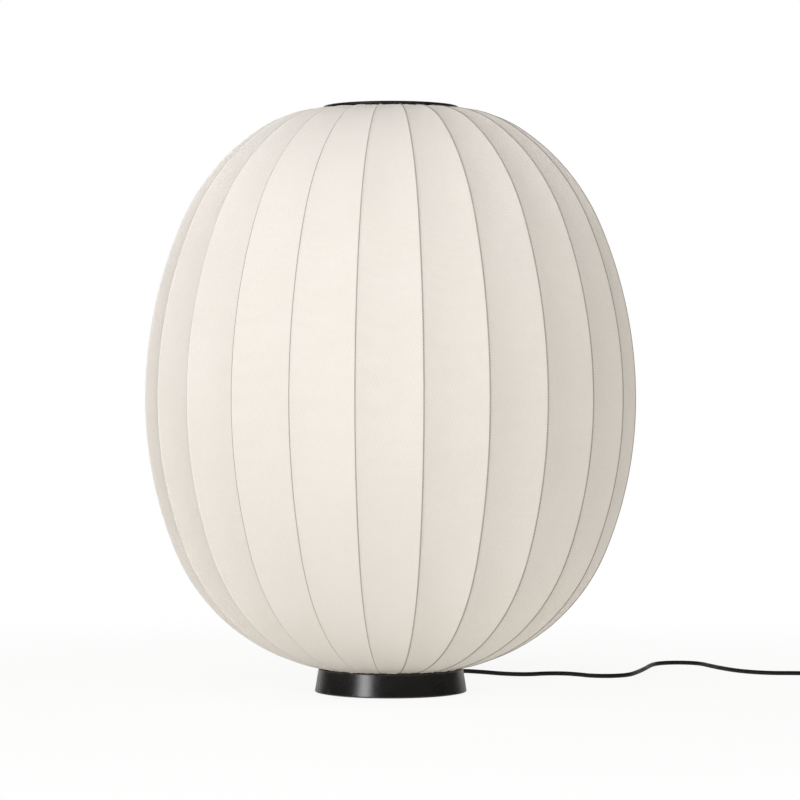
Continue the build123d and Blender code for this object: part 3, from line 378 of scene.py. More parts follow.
@dataclass(frozen=True)
class KnitFinish(Finish):
    """Matt knitted yarn that lets some light through, with a soft sheen and painted shade between the
    stitches and in the holes of a row of stitches along a rib.
    """

    # painted shade in the gaps between stitches
    gap_shade_colour: tuple[float, float, float] = (206, 197, 186)
    patch_colour: tuple[float, float, float] = (243, 240, 235)
    # painted shade in the seam's stitch holes: its colour and share
    seam_shade_colour: tuple[float, float, float] = (122, 115, 104)
    seam_shade_share: float = 0.88
    glow: float = 0.3
    slow: float = 7.0
    patch_share: float = 0.35
    # share of the painted shade in the gaps between stitches
    gap_shade_share: float = 0.7
    yarn_bump: float = 0.0004
    seam_bump: float = 0.0005
    beats_per_row: float = 0.75
    specular: float = 0.25
    sheen: float = 0.15
    sheen_roughness: float = 0.45

    def make(self, name: str) -> bpy.types.Material:
        """Builds the material. The attribute seam is 1 along a seam, which is the same at every rib, and
        places the seam's groove and its painted shade.
        """
        material, tree, shader = self.start(name)
        uv = tree.add("ShaderNodeUVMap", uv_map="Loops").outputs[0]
        knit = tree.group(KNIT, Stitches=uv, Slant=0.5)
        grain = tree.group(GRAIN, Point=tree.place(), Fine=2400.0, Slow=self.slow)
        patch = tree.sum("MULTIPLY", grain.outputs["Patches"], self.patch_share)
        yarn = tree.mix(patch, linear(*self.colour), linear(*self.patch_colour))
        # painted shade: darkens the gaps between the stitches
        dark = tree.sum("MULTIPLY", knit.outputs["Gap"], self.gap_shade_share)
        height = tree.sum("MULTIPLY_ADD", grain.outputs["Height"], 0.25, knit.outputs["Height"])
        normal = self.bump(tree, shader, height, self.yarn_bump)
        near = tree.add("ShaderNodeAttribute", attribute_name="seam").outputs["Fac"]
        line = tree.spread(near, 0.2, 0.9, 0.0, 1.0)
        parts = tree.add("ShaderNodeSeparateXYZ")
        tree.feed(parts.inputs[0], uv)
        beat = tree.sum("SINE", tree.sum("MULTIPLY", parts.outputs[1], self.beats_per_row * 2 * math.pi))
        # dashes of stitch holes along the seam, for the groove's bump and the painted shade
        hole = tree.sum("MULTIPLY", line, tree.spread(beat, -0.6, 0.5, 1.0, 0.7))
        self.bump(tree, shader, tree.sum("MULTIPLY", hole, -1.0), self.seam_bump, normal)
        knitted = tree.mix(dark, yarn, linear(*self.gap_shade_colour))
        # painted shade: darkens the seam's stitch holes
        seam = tree.sum("MULTIPLY", hole, self.seam_shade_share)
        tree.feed(shader.inputs["Base Color"], tree.mix(seam, knitted, linear(*self.seam_shade_colour)))
        shader.inputs["Roughness"].default_value = self.roughness
        shader.inputs["Specular IOR Level"].default_value = self.specular
        shader.inputs["Sheen Weight"].default_value = self.sheen
        shader.inputs["Sheen Roughness"].default_value = self.sheen_roughness
        shader.inputs["Subsurface Weight"].default_value = self.glow
        shader.inputs["Subsurface Radius"].default_value = (0.004, 0.004, 0.004)
        shader.inputs["Subsurface Scale"].default_value = 1.0
        return material


@dataclass(frozen=True)
class PaintFinish(Finish):
    """Sprayed or powder paint: fine orange peel, and edges that are rubbed towards the metal."""

    worn_colour: tuple[float, float, float] = (92, 90, 88)
    edges: tuple[float, float] = (0.001, 0.0305)
    peel: float = 900.0
    depth: float = 0.00003
    specular: float = 0.3
    wear_reach: float = 0.0022
    wear_share: float = 0.5

    def make(self, name: str) -> bpy.types.Material:
        """Builds the material."""
        material, tree, shader = self.start(name)
        grain = tree.group(GRAIN, Point=tree.place(), Fine=self.peel, Slow=26.0)
        low, high = self.edges
        rub = tree.group(RUB, Point=tree.place(), Low=low, High=high, Reach=self.wear_reach)
        patches = grain.outputs["Patches"]
        lighter = tuple(c * 1.1 + 1 for c in self.colour)
        coat = tree.mix(patches, linear(*self.colour), linear(*lighter))
        worn = tree.sum("MULTIPLY", rub.outputs["Mask"], self.wear_share)
        tree.feed(shader.inputs["Base Color"], tree.mix(worn, coat, linear(*self.worn_colour)))
        tree.feed(
            shader.inputs["Roughness"],
            tree.spread(patches, 0.0, 1.0, self.roughness - 0.01, self.roughness + 0.02),
        )
        shader.inputs["Specular IOR Level"].default_value = self.specular
        self.bump(tree, shader, grain.outputs["Height"], self.depth)
        return material


@dataclass(frozen=True)
class MouldedFinish(Finish):
    """Moulded plastic, rubber, ceramic or glass: grain from the mould and a few dull patches."""

    fine: float = 1800.0
    depth: float = 0.00003
    contrast: float = 0.12
    specular: float = 0.45
    coat: float = 0.0
    glow: float = 0.0

    def make(self, name: str) -> bpy.types.Material:
        """Builds the material."""
        material, tree, shader = self.start(name)
        grain = tree.group(GRAIN, Point=tree.place(self.lay.value), Fine=self.fine, Slow=60.0)
        patches = grain.outputs["Patches"]
        darker = tuple(c * (1.0 - self.contrast) for c in self.colour)
        tree.feed(shader.inputs["Base Color"], tree.mix(patches, linear(*self.colour), linear(*darker)))
        tree.feed(
            shader.inputs["Roughness"],
            tree.spread(patches, 0.0, 1.0, self.roughness, min(1.0, self.roughness + 0.12)),
        )
        shader.inputs["Specular IOR Level"].default_value = self.specular
        shader.inputs["Coat Weight"].default_value = self.coat
        shader.inputs["Coat Roughness"].default_value = 0.12
        shader.inputs["Subsurface Weight"].default_value = self.glow
        shader.inputs["Subsurface Radius"].default_value = (0.004, 0.004, 0.004)
        self.bump(tree, shader, grain.outputs["Height"], self.depth)
        return material


@dataclass(frozen=True)
class MetalFinish(Finish):
    """Bare or plated metal, with marks that run one way and dull spots."""

    dull_colour: tuple[float, float, float] = (120, 116, 110)
    fine: float = 5200.0
    depth: float = 0.000012
    dulling: float = 0.35

    def make(self, name: str) -> bpy.types.Material:
        """Builds the material."""
        material, tree, shader = self.start(name)
        grain = tree.group(GRAIN, Point=tree.place(self.lay.value), Fine=self.fine, Slow=170.0)
        spots = tree.spread(tree.noise(tree.place(), 240.0, 5.0), 0.5, 0.75, 0.0, self.dulling)
        metal = tree.mix(spots, linear(*self.colour), linear(*self.dull_colour))
        tree.feed(shader.inputs["Base Color"], metal)
        shader.inputs["Metallic"].default_value = 1.0
        rough = (self.roughness - 0.08, self.roughness + 0.1)
        marks = tree.spread(grain.outputs["Height"], 0.25, 0.75, *rough)
        tree.feed(shader.inputs["Roughness"], tree.sum("ADD", marks, tree.sum("MULTIPLY", spots, 0.3)))
        self.bump(tree, shader, grain.outputs["Height"], self.depth)
        return material


FINISHES: dict[str, Finish] = {
    "cover_knit": KnitFinish((250, 248, 245), 0.88),
    "rib_rod": MouldedFinish((226, 222, 208), 0.42, Lay.UPRIGHT, contrast=0.08),
    "base_black": PaintFinish((10, 10, 10), 0.27, specular=0.95),
    "ring_black": PaintFinish((14, 14, 14), 0.4, edges=(0.7742, 0.7772), specular=0.25),
    "weight_iron": MouldedFinish((92, 92, 94), 0.72, fine=420.0, depth=0.0003, contrast=0.3),
    "plate_steel": PaintFinish((34, 34, 35), 0.45, edges=(0.002, 0.0032)),
    "pad_rubber": MouldedFinish((30, 30, 31), 0.86, fine=1100.0, depth=0.0002, specular=0.25),
    "zinc_steel": MetalFinish((196, 196, 192), 0.34, Lay.ROUND, dull_colour=(150, 150, 146)),
    "holder_black": MouldedFinish((26, 26, 27), 0.36, depth=0.00002, coat=0.1),
    "core_ceramic": MouldedFinish((232, 228, 216), 0.62, fine=900.0, depth=0.00005, contrast=0.06),
    "contact_brass": MetalFinish((206, 168, 92), 0.3, Lay.ROUND, dull_colour=(140, 106, 58)),
    "bulb_nickel": MetalFinish((208, 205, 198), 0.22, Lay.ROUND, dull_colour=(160, 156, 148)),
    "bulb_black": MouldedFinish((20, 20, 21), 0.16, fine=600.0, depth=0.00001, coat=0.4),
    "bulb_white": MouldedFinish((240, 240, 236), 0.3, contrast=0.03, coat=0.2, glow=0.05),
    "bulb_opal": MouldedFinish(
        (246, 245, 240), 0.28, fine=500.0, depth=0.00001, contrast=0.02, coat=0.3, glow=0.25
    ),
    "lead_sheath": MouldedFinish((96, 58, 34), 0.48, depth=0.00002),
    "terminal_grey": MouldedFinish((214, 214, 208), 0.4, contrast=0.05, glow=0.2),
    "cord_black": MouldedFinish((21, 21, 22), 0.46, fine=2600.0, depth=0.00003, specular=0.35),
    "fitting_black": MouldedFinish((25, 25, 26), 0.5, fine=2300.0, depth=0.00006, specular=0.4),
}


class Finishes:
    """Makes each finish's material once, and gives it out by its slot's name."""

    def __init__(self) -> None:
        """Starts with no material made."""
        self.made: dict[str, bpy.types.Material] = {}

    def __getitem__(self, slot: str) -> bpy.types.Material:
        """The material of a slot."""
        if slot not in self.made:
            self.made[slot] = FINISHES[slot].make(slot)
        return self.made[slot]

    def dress_frame(self) -> None:
        """Gives every CAD node the material of its slot in the record."""
        for part in frame["record"]["subparts"]:
            node = frame["nodes"][part["node"]]
            node.data.materials.clear()
            node.data.materials.append(self[part["material_slot"]])
        log.info("dressed %d CAD nodes", len(frame["nodes"]))


# Studio


@dataclass(frozen=True)
class Softbox:
    """A square soft light that faces the lamp."""

    name: str
    azimuth: float
    elevation: float
    distance: float
    size: float
    watts: float
    colour: tuple[float, float, float] = (1.0, 1.0, 1.0)
    target: tuple[float, float, float] = (0.0, 0.0, 0.35)
    mirrored: bool = True

    def build(self) -> bpy.types.Object:
        """Hangs the light at its azimuth, where 0 is in front and positive is to the right."""
        light = bpy.data.lights.new(self.name, "AREA")
        light.shape = "SQUARE"
        light.size = self.size
        light.energy = self.watts
        light.color = self.colour
        lamp = link(self.name, light)
        lamp.visible_glossy = self.mirrored
        turn, lift = math.radians(self.azimuth), math.radians(self.elevation)
        level = self.distance * math.cos(lift)
        lamp.location = (
            self.target[0] + level * math.sin(turn),
            self.target[1] - level * math.cos(turn),
            self.target[2] + self.distance * math.sin(lift),
        )
        lamp.rotation_euler = (math.pi / 2 - lift, 0.0, turn)
        return lamp


@dataclass
class Studio:
    """Camera, lights, pale floor and white backdrop."""

    camera_place: tuple[float, float, float] = (0.01226, -4.196, 0.3997)
    camera_tilt: float = 89.837
    lens: float = 142.02
    floor_reach: float = 30.0
    shadow_reach: tuple[float, float] = (0.4, 1.6)
    floor_lift: float = 0.7
    fill: float = 0.44
    mirrored_dark: float = 0.04
    floor_gloss: float = 0.18
    fill_colour: tuple[float, float, float] = (255, 246, 236)
    bounce_colour: tuple[float, float, float] = (255, 249, 238)
    floor_colour: tuple[float, float, float] = (246, 246, 246)
    lights: list[Softbox] = field(
        default_factory=lambda: [
            Softbox("key", -41.0, 12.0, 3.4, 1.0, 26.5),
            Softbox("front", 4.0, 19.0, 6.0, 2.4, 116.0, (1.0, 0.99, 0.985), mirrored=False),
            Softbox("top", -30.0, 68.0, 3.6, 1.6, 33.0, mirrored=False),
        ]
    )

    def shoot(self) -> None:
        """Places the camera as the photograph's was."""
        data = bpy.data.cameras.new("camera")
        data.lens = self.lens
        data.sensor_width = 36.0
        data.clip_end = 100.0
        camera = link("camera", data)
        camera.location = self.camera_place
        camera.rotation_euler = (math.radians(self.camera_tilt), 0.0, 0.0)
        bpy.context.scene.camera = camera

    @staticmethod
    def seen(tree: Tree, gloss: float = 1.0) -> bpy.types.NodeSocket:
        """1 for rays from the camera or through glass, and the gloss's share for rays off gloss."""
        path = tree.add("ShaderNodeLightPath")
        mirrored = tree.sum("MULTIPLY", path.outputs["Is Glossy Ray"], gloss)
        through = tree.sum("MAXIMUM", mirrored, path.outputs["Is Transmission Ray"])
        return tree.sum("MAXIMUM", path.outputs["Is Camera Ray"], through)

    def backdrop(self) -> None:
        """A world that is white to look at and gives an even, slightly warm fill.

        Gloss mirrors it darker on the camera's side, where a studio is unlit.
        """
        world = bpy.data.worlds.new("backdrop")
        world.use_nodes = True
        bpy.context.scene.world = world
        tree = Tree(world.node_tree)
        fill = tree.add("ShaderNodeBackground")
        tree.feed(fill.inputs[0], linear(*self.fill_colour))
        tree.feed(fill.inputs[1], self.fill)
        white = tree.add("ShaderNodeBackground")
        tree.feed(white.inputs[0], (1.0, 1.0, 1.0, 1.0))
        parts = tree.add("ShaderNodeSeparateXYZ")
        tree.feed(parts.inputs[0], tree.add("ShaderNodeTexCoord").outputs["Generated"])
        room = tree.spread(parts.outputs[1], 0.55, 0.97, self.mirrored_dark, 1.0)
        direct = tree.add("ShaderNodeLightPath").outputs["Is Camera Ray"]
        tree.feed(white.inputs[1], tree.sum("MAXIMUM", room, direct))
        blend = tree.add("ShaderNodeMixShader")
        tree.feed(blend.inputs[0], self.seen(tree))
        tree.feed(blend.inputs[1], fill.outputs[0])
        tree.feed(blend.inputs[2], white.outputs[0])
        tree.feed(tree.add("ShaderNodeOutputWorld").inputs[0], blend.outputs[0])

    def floor(self) -> None:
        """A pale round floor: white to look at, with the lamp's own soft shadow near the lamp.

        The floor is a disc, radius * (cos, sin) for radius and angle on a grid.
        """
        radius = np.array([0.0, 0.5, 1.0, 2.0, 4.0, 10.0, self.floor_reach])[:, None, None]
        turn = np.linspace(0, 2 * np.pi, 64, endpoint=False)[None, :, None]
        top = np.concatenate([radius * np.cos(turn), radius * np.sin(turn), np.zeros_like(radius * turn)], -1)
        under = top[::-1] - np.array([0.0, 0.0, 0.02])
        floor = skin("floor", [np.concatenate([top, under])])
        material = bpy.data.materials.new("floor")
        material.use_nodes = True
        tree = Tree(material.node_tree)
        shader = tree.add("ShaderNodeBsdfPrincipled")
        grain = tree.group(GRAIN, Point=tree.place(), Fine=900.0, Slow=3.0)
        duller = tuple(c * 0.985 for c in self.floor_colour)
        tree.feed(
            shader.inputs["Base Color"],
            tree.mix(grain.outputs["Patches"], linear(*self.floor_colour), linear(*duller)),
        )
        shader.inputs["Roughness"].default_value = 0.8
        shader.inputs["Specular IOR Level"].default_value = 0.1
        glow = tree.add("ShaderNodeEmission")
        white = (1.0, 1.0, 1.0, 1.0)
        tree.feed(glow.inputs[0], tree.mix(self.seen(tree), linear(*self.bounce_colour), white))
        far = tree.add("ShaderNodeVectorMath", operation="LENGTH")
        tree.feed(far.inputs[0], tree.place())
        share = tree.spread(far.outputs["Value"], *self.shadow_reach, 0.9, 1.0)
        blend = tree.add("ShaderNodeMixShader")
        shown = tree.sum("MULTIPLY", self.seen(tree, self.floor_gloss), share)
        diffuse = tree.add("ShaderNodeLightPath").outputs["Is Diffuse Ray"]
        lift = tree.sum("MULTIPLY", diffuse, self.floor_lift)
        tree.feed(blend.inputs[0], tree.sum("MAXIMUM", shown, lift))
        tree.feed(blend.inputs[1], shader.outputs[0])
        tree.feed(blend.inputs[2], glow.outputs[0])
        tree.feed(tree.add("ShaderNodeOutputMaterial").inputs[0], blend.outputs[0])
        floor.data.materials.append(material)

    def build(self) -> None:
        """Sets the whole studio up."""
        bpy.context.scene.view_settings.view_transform = "Standard"
        self.shoot()
        self.backdrop()
        self.floor()
        for light in self.lights:
            light.build()
        log.info("studio with %d lights", len(self.lights))


# Cords


@dataclass
class Cords:
    """The lamp's cord: a run to the foot switch, then a run that is coiled up to the plug."""

    radius: float = 0.003
    exit: tuple[float, float, float] = (0.0, 0.12847, 0.0115)
    switch_exit: tuple[float, float, float] = (0.625, 0.052, 0.0065)
    length_to_switch: float = 1.07
    length_to_plug: float = 1.49
    to_switch: tuple[tuple[float, float, float], ...] = (
        (0.0, 0.12847, 0.0115),
        (0.0, 0.15247, 0.0115),
        (0.005, 0.18047, 0.0065),
        (0.017, 0.21247, 0.003),
        (0.036, 0.246, 0.003),
        (0.064, 0.271, 0.003),
        (0.096, 0.281, 0.003),
        (0.127, 0.262, 0.003),
        (0.159, 0.230, 0.003),
        (0.191, 0.221, 0.003),
        (0.217, 0.238, 0.003),
        (0.244, 0.2375, 0.003),
        (0.263, 0.2215, 0.003),
        (0.2765, 0.202, 0.003),
        (0.299, 0.195, 0.003),
        (0.321, 0.203, 0.003),
        (0.335, 0.221, 0.003),
        (0.347, 0.257, 0.003),
        (0.361, 0.308, 0.003),
        (0.373, 0.362, 0.003),
        (0.383, 0.392, 0.003),
        (0.396, 0.408, 0.003),
        (0.416, 0.415, 0.003),
        (0.437, 0.410, 0.003),
        (0.451, 0.394, 0.003),
        (0.458, 0.368, 0.003),
        (0.470, 0.328, 0.003),
        (0.492, 0.275, 0.003),
        (0.529, 0.242, 0.003),
        (0.573, 0.242, 0.003),
        (0.603, 0.233, 0.003),
        (0.621, 0.209, 0.0034),
        (0.625, 0.180, 0.0065),
        (0.625, 0.152, 0.0065),
    )
    to_coil: tuple[tuple[float, float, float], ...] = (
        (0.625, 0.052, 0.0065),
        (0.625, 0.034, 0.0065),
        (0.628, 0.012, 0.0034),
        (0.636, -0.007, 0.003),
        (0.6439, -0.025, 0.003),
        (0.6439, -0.044, 0.003),
    )
    to_plug: tuple[tuple[float, float, float], ...] = (
        (0.6439, -0.056, 0.0096),
        (0.6439, -0.077, 0.0096),
        (0.641, -0.101, 0.006),
        (0.635, -0.125, 0.0034),
        (0.627, -0.148, 0.0036),
        (0.624, -0.172, 0.00685),
        (0.624, -0.190, 0.00685),
    )
    coil_centre: tuple[float, float] = (0.601, -0.050)
    coil_radius: float = 0.0231
    coil_pitch: float = 0.0066
    coil_turns: int = 6
    points_per_turn: int = 14

    def coil(self) -> np.ndarray:
        """Control points of the coil's turns.

        In words: half a step before each even share of a turn, at a radius that shrinks by one
        pitch a turn to the middle of the coil and then grows again, and that is drawn out by
        1 / cos(half a step), since the spline cuts inside its points. The cord climbs one pitch in
        the half turn round the middle.
        """
        step = (np.arange(self.coil_turns * self.points_per_turn) + 0.5) / self.points_per_turn
        off = step - self.coil_turns / 2
        radius = (self.coil_radius + self.coil_pitch * np.abs(off)) / math.cos(math.pi / self.points_per_turn)
        height = self.radius + self.coil_pitch * np.clip(off / 0.5 + 0.5, 0.0, 1.0)
        turn = -2 * np.pi * step
        across = self.coil_centre[0] + radius * np.cos(turn)
        back = self.coil_centre[1] + radius * np.sin(turn)
        return np.stack([across, back, height], 1)

    def lay(self, name: str, points: np.ndarray) -> bpy.types.Object:
        """One cord along one open NURBS spline with these control points."""
        curve = bpy.data.curves.new(name, "CURVE")
        curve.dimensions = "3D"
        curve.bevel_depth = self.radius
        curve.bevel_resolution = 5
        curve.use_fill_caps = True
        curve.resolution_u = 8
        spline = curve.splines.new("NURBS")
        spline.points.add(len(points) - 1)
        spline.points.foreach_set("co", np.c_[points, np.ones(len(points))].ravel())
        spline.order_u = 3
        spline.use_endpoint_u = True
        return link(name, curve)

    def build(self, finishes: Finishes) -> None:
        first = self.lay("cord_run", np.array(self.to_switch))
        ride(first, "lamp", "cord_black", finishes["cord_black"])
        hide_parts("cord_to_switch")
        second = self.lay("cord_put_away", np.concatenate([self.to_coil, self.coil(), self.to_plug]))
        ride(second, "lamp", "cord_black", finishes["cord_black"])
        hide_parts("cord_to_coil", "cord_coil", "cord_to_plug")


@dataclass(frozen=True)
class Sleeve:
    """A tapered rubber sleeve where the cord leaves a housing, grooved so that it bends evenly."""

    name: str
    start: tuple[float, float, float]
    toward: tuple[float, float, float]
    length: float
    root: float
    tip: float
    bore: float = 0.00305
    grooves: int = 5
    groove_depth: float = 0.0011
    collar: float = 0.0

    def outline(self) -> np.ndarray:
        """Closed outline as (distance along, radius).

        In words: the outside tapers evenly from root to tip, and over the middle of the sleeve it
        dips by the groove's depth wherever a cosine of the distance is low. The bore is plain.
        """
        along = np.linspace(0.0, 1.0, 121)
        taper = self.root + (self.tip - self.root) * along
        wave = 0.5 - 0.5 * np.cos(2 * np.pi * self.grooves * np.clip((along - 0.16) / 0.72, 0.0, 1.0))
        dip = self.groove_depth * np.clip(3.0 * wave - 1.6, 0.0, 1.0) * (1.0 - 0.45 * along)
        tip_round = 0.0005 * np.clip((along - 0.985) / 0.015, 0.0, 1.0) ** 2
        outside = np.stack([along * self.length, taper - dip - tip_round], 1)
        if self.collar:
            flange = np.array([[0.0, self.collar], [0.0017, self.collar], [0.0023, self.collar - 0.0006]])
            outside = np.concatenate([flange, outside[along * self.length > 0.00235]])
        bore = np.array([[self.length, self.bore], [0.0, self.bore]])
        return np.concatenate([outside, bore])

    def build(self, finishes: Finishes) -> bpy.types.Object:
        """Makes the sleeve and lets it ride on the lamp."""
        piece = skin(self.name, [turned(self.outline(), self.start, self.toward)])
        return ride(piece, "lamp", "fitting_black", finishes["fitting_black"])


# Shade


@dataclass(frozen=True)
class HalfLine:
    """Half of a rib's outer line, from the waist to a mouth: three arcs and a straight tail."""

    sign: float
    mouth: tuple[float, float]
    slope: float
    tail: float
    side_turn: float
    shoulder_turn: float
    curl_radius: float

    def points(self, waist_radius: float, waist_height: float, per_arc: int = 160) -> np.ndarray:
        """Points (radius, height) from the waist to the mouth.

        In words: a side arc, a shoulder arc and a curl arc follow one another without a corner, and
        a straight tail ends them. The radii of the first two arcs solve the two equations that
        carry the line from the waist to the mouth, across and up.

        Args:
            waist_radius: radius of the widest circle.
            waist_height: height of the widest circle.
            per_arc: points on each arc.

        Returns:
            An array of points x 2.
        """
        turns = np.radians([0.0, self.side_turn, self.shoulder_turn, 90.0 - self.slope])
        cos, sin = np.cos(turns), np.sin(turns)
        reach = waist_radius - self.mouth[0] - self.tail * sin[3] - self.curl_radius * (cos[2] - cos[3])
        rise = abs(self.mouth[1] - waist_height) - self.tail * cos[3] - self.curl_radius * (sin[3] - sin[2])
        arcs = [[1 - cos[1], cos[1] - cos[2]], [sin[1], sin[2] - sin[1]]]
        radii = np.array([*np.linalg.solve(arcs, [reach, rise]), self.curl_radius])
        heading = np.stack([cos, sin], 1)
        steps = (radii[:-1] - radii[1:])[:, None] * heading[1:3]
        centres = np.cumsum(np.concatenate([[[waist_radius - radii[0], 0.0]], steps]), 0)
        turn = np.linspace(turns[:3], turns[1:], per_arc).T[..., None]
        arc = centres[:, None] + radii[:, None, None] * np.concatenate([np.cos(turn), np.sin(turn)], -1)
        end = arc[-1, -1] + self.tail * np.array([-sin[3], cos[3]])
        line = np.concatenate([arc[0], arc[1, 1:], arc[2, 1:], end[None]])
        return np.stack([line[:, 0], waist_height + self.sign * line[:, 1]], 1)


@dataclass
class Shade:
    """The knitted cover over its ribs, with its hems, seams and the channels inside."""

    rib_count: int = 24
    first_rib: float = 7.5
    waist_radius: float = 0.325
    waist_height: float = 0.389
    upper: HalfLine = HalfLine(1.0, (0.0866, 0.7726), 3.0, 0.0094, 23.0, 56.5, 0.153)
    lower: HalfLine = HalfLine(-1.0, (0.0923, 0.0326), 12.0, 0.0077, 22.0, 56.5, 0.259)
    rows: int = 108
    thickness: float = 0.0011
    ridge_height: float = 0.0008
    ridge_width: float = 0.0013
    seam_depth: float = 0.0001
    seam_place: float = -0.0006
    seam_width: float = 0.0010
    pull: float = 2.4
    beside_rib: tuple[float, ...] = (0.0004, 0.0008, 0.0012, 0.0017, 0.0024, 0.0042)
    between: int = 6
    stitches_across: int = 34
    stitch_row: float = 0.0024
    flat_area: float = 1.72
    hem_lift_width: float = 0.0017
    channel_rows: int = 64
    channel_trim: tuple[float, float] = (0.03, 0.022)
    channel_half: float = 0.0044
    channel_depth: float = 0.00115
    channel_bulge: float = 0.0043
    channel_bulge_width: float = 0.0026
    channel_thickness: float = 0.00045
    channel_stitch: float = 0.0017

    @property
    def gore(self) -> float:
        """Angle between two ribs."""
        return 2 * math.pi / self.rib_count

    def line(self, rows: int, trim: tuple[float, float] = (0.0, 0.0)) -> dict[str, np.ndarray]:
        """The rib's outer line from the top mouth to the bottom one, evenly spaced.

        Args:
            rows: number of points.
            trim: lengths left out at the top and at the bottom.

        Returns:
            Columns of radius, height, the normal's two parts, curvature and distance along.
        """
        up = self.upper.points(self.waist_radius, self.waist_height)
        down = self.lower.points(self.waist_radius, self.waist_height)
        fine = np.concatenate([up[::-1], down[1:]])
        along = np.r_[0.0, np.cumsum(np.linalg.norm(np.diff(fine, axis=0), axis=1))]
        heading = np.stack([np.gradient(fine[:, 0], along), np.gradient(fine[:, 1], along)], 1)
        heading /= np.linalg.norm(heading, axis=1)[:, None]
        even = np.linspace(along[0], along[-1], 800)
        turn = np.interp(even, along, np.unwrap(np.arctan2(heading[:, 1], heading[:, 0])))
        window = np.hanning(71)
        padded = np.pad(turn, 35, mode="reflect", reflect_type="odd")
        slow = np.convolve(padded, window / window.sum(), "valid")
        bend = np.abs(np.gradient(slow, even))
        at = np.linspace(along[0] + trim[0], along[-1] - trim[1], rows)
        facing = np.interp(at, even, turn)
        return {
            "radius": np.interp(at, along, fine[:, 0])[:, None],
            "height": np.interp(at, along, fine[:, 1])[:, None],
            "out": -np.sin(facing)[:, None],
            "up": np.cos(facing)[:, None],
            "bend": np.interp(at, even, bend)[:, None],
            "along": at[:, None],
        }

    def place(self, line: dict[str, np.ndarray], turn: np.ndarray, offset: np.ndarray | float) -> np.ndarray:
        """Points of the cover in the first gore, which starts at a rib at angle 0.

        In words: between two ribs the cover follows the straight chord at each height, and a pull
        towards the axis makes it sag as a parabola, by the line's curvature times the gore's width
        squared over 8, times the pull. The offset is along the rib line's own normal.

        Args:
            line: the rib's line, as columns.
            turn: rows x columns of angles from the gore's first rib.
            offset: rows x columns of distances outwards.

        Returns:
            A grid of rows x columns x 3.
        """
        half = self.gore / 2
        width = 2 * line["radius"] * math.sin(half)
        share = 1 - ((turn - half) / half) ** 2
        lift = offset - self.pull * line["bend"] * width**2 / 8 * np.clip(share, 0.0, None)
        radius = line["radius"] * math.cos(half) / np.cos(turn - half) + lift * line["out"]
        height = line["height"] + lift * line["up"]
        return np.stack([radius * np.cos(turn), radius * np.sin(turn), height], -1)

    def all_round(self, points: np.ndarray, joined: bool) -> np.ndarray:
        """Repeats a piece of the first gore at each rib.

        Args:
            points: rows x columns x 3.
            joined: puts the copies side by side in one grid; otherwise they are stacked.

        Returns:
            rows x all columns x 3, or copies x rows x columns x 3.
        """
        turn = math.radians(self.first_rib) + self.gore * np.arange(self.rib_count)
        cos, sin, zero = np.cos(turn), np.sin(turn), np.zeros_like(turn)
        spin = np.stack([cos, -sin, zero, sin, cos, zero, zero, zero, zero + 1], 1).reshape(-1, 3, 3)
        copies = np.einsum("kij,rcj->krci", spin, points)
        if joined:
            return copies.transpose(1, 0, 2, 3).reshape(points.shape[0], -1, 3)
        return copies

    def columns(self, line: dict[str, np.ndarray]) -> np.ndarray:
        """Angles of one gore's columns at each height: close together beside the ribs, even between."""
        near = np.array(self.beside_rib)[None] / line["radius"]
        edge = near[:, -1:]
        middle = edge + (self.gore - 2 * edge) * np.linspace(0, 1, self.between + 2)[None, 1:-1]
        return np.concatenate([np.zeros_like(edge), near, middle, self.gore - near[:, ::-1]], 1)

    def ridge(self, off: np.ndarray) -> np.ndarray:
        """How far the cover stands proud over a rib, a bell curve, less the groove of the seam."""
        return self.ridge_height * np.exp(-((off / self.ridge_width) ** 2)) - self.seam_depth * self.seam(off)

    def seam(self, off: np.ndarray) -> np.ndarray:
        """1 along a seam, falling off as a bell curve of the distance, which is negative left of a rib."""
        return np.exp(-(((off - self.seam_place) / self.seam_width) ** 2))

    def cover(self, finishes: Finishes) -> bpy.types.Object:
        """The cover: an outer and an inner face, joined at both mouths."""
        line = self.line(self.rows)
        turn = self.columns(line)
        off = line["radius"] * np.where(turn < self.gore / 2, turn, turn - self.gore)
        outer = self.all_round(self.place(line, turn, self.ridge(off)), True)
        inner = self.all_round(self.place(line, turn, self.ridge(off) - self.thickness), True)
        gores = np.arange(self.rib_count)[None, :, None] + (turn / self.gore)[:, None, :]
        gores = np.concatenate([gores.reshape(self.rows, -1), np.full((self.rows, 1), self.rib_count)], 1)
        across = gores * self.stitches_across
        rows = np.repeat(line["along"] / self.stitch_row, across.shape[1], 1)
        one = np.stack([across, rows], -1)
        loops = np.concatenate([one, one[::-1], one[:1]])
        piece = skin("cover", [np.concatenate([outer, inner[::-1]])], loops=loops)
        # the seam mask that the finish turns into a groove and painted shade
        seam = np.tile(self.seam(off), (1, self.rib_count))
        kept = piece.data.attributes.new("seam", "FLOAT", "POINT")
        kept.data.foreach_set("value", np.concatenate([seam, seam[::-1]]).astype(np.float32).ravel())
        ride(piece, "lamp", "cover_knit", finishes["cover_knit"])
        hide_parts("knitted_cover")
        return piece

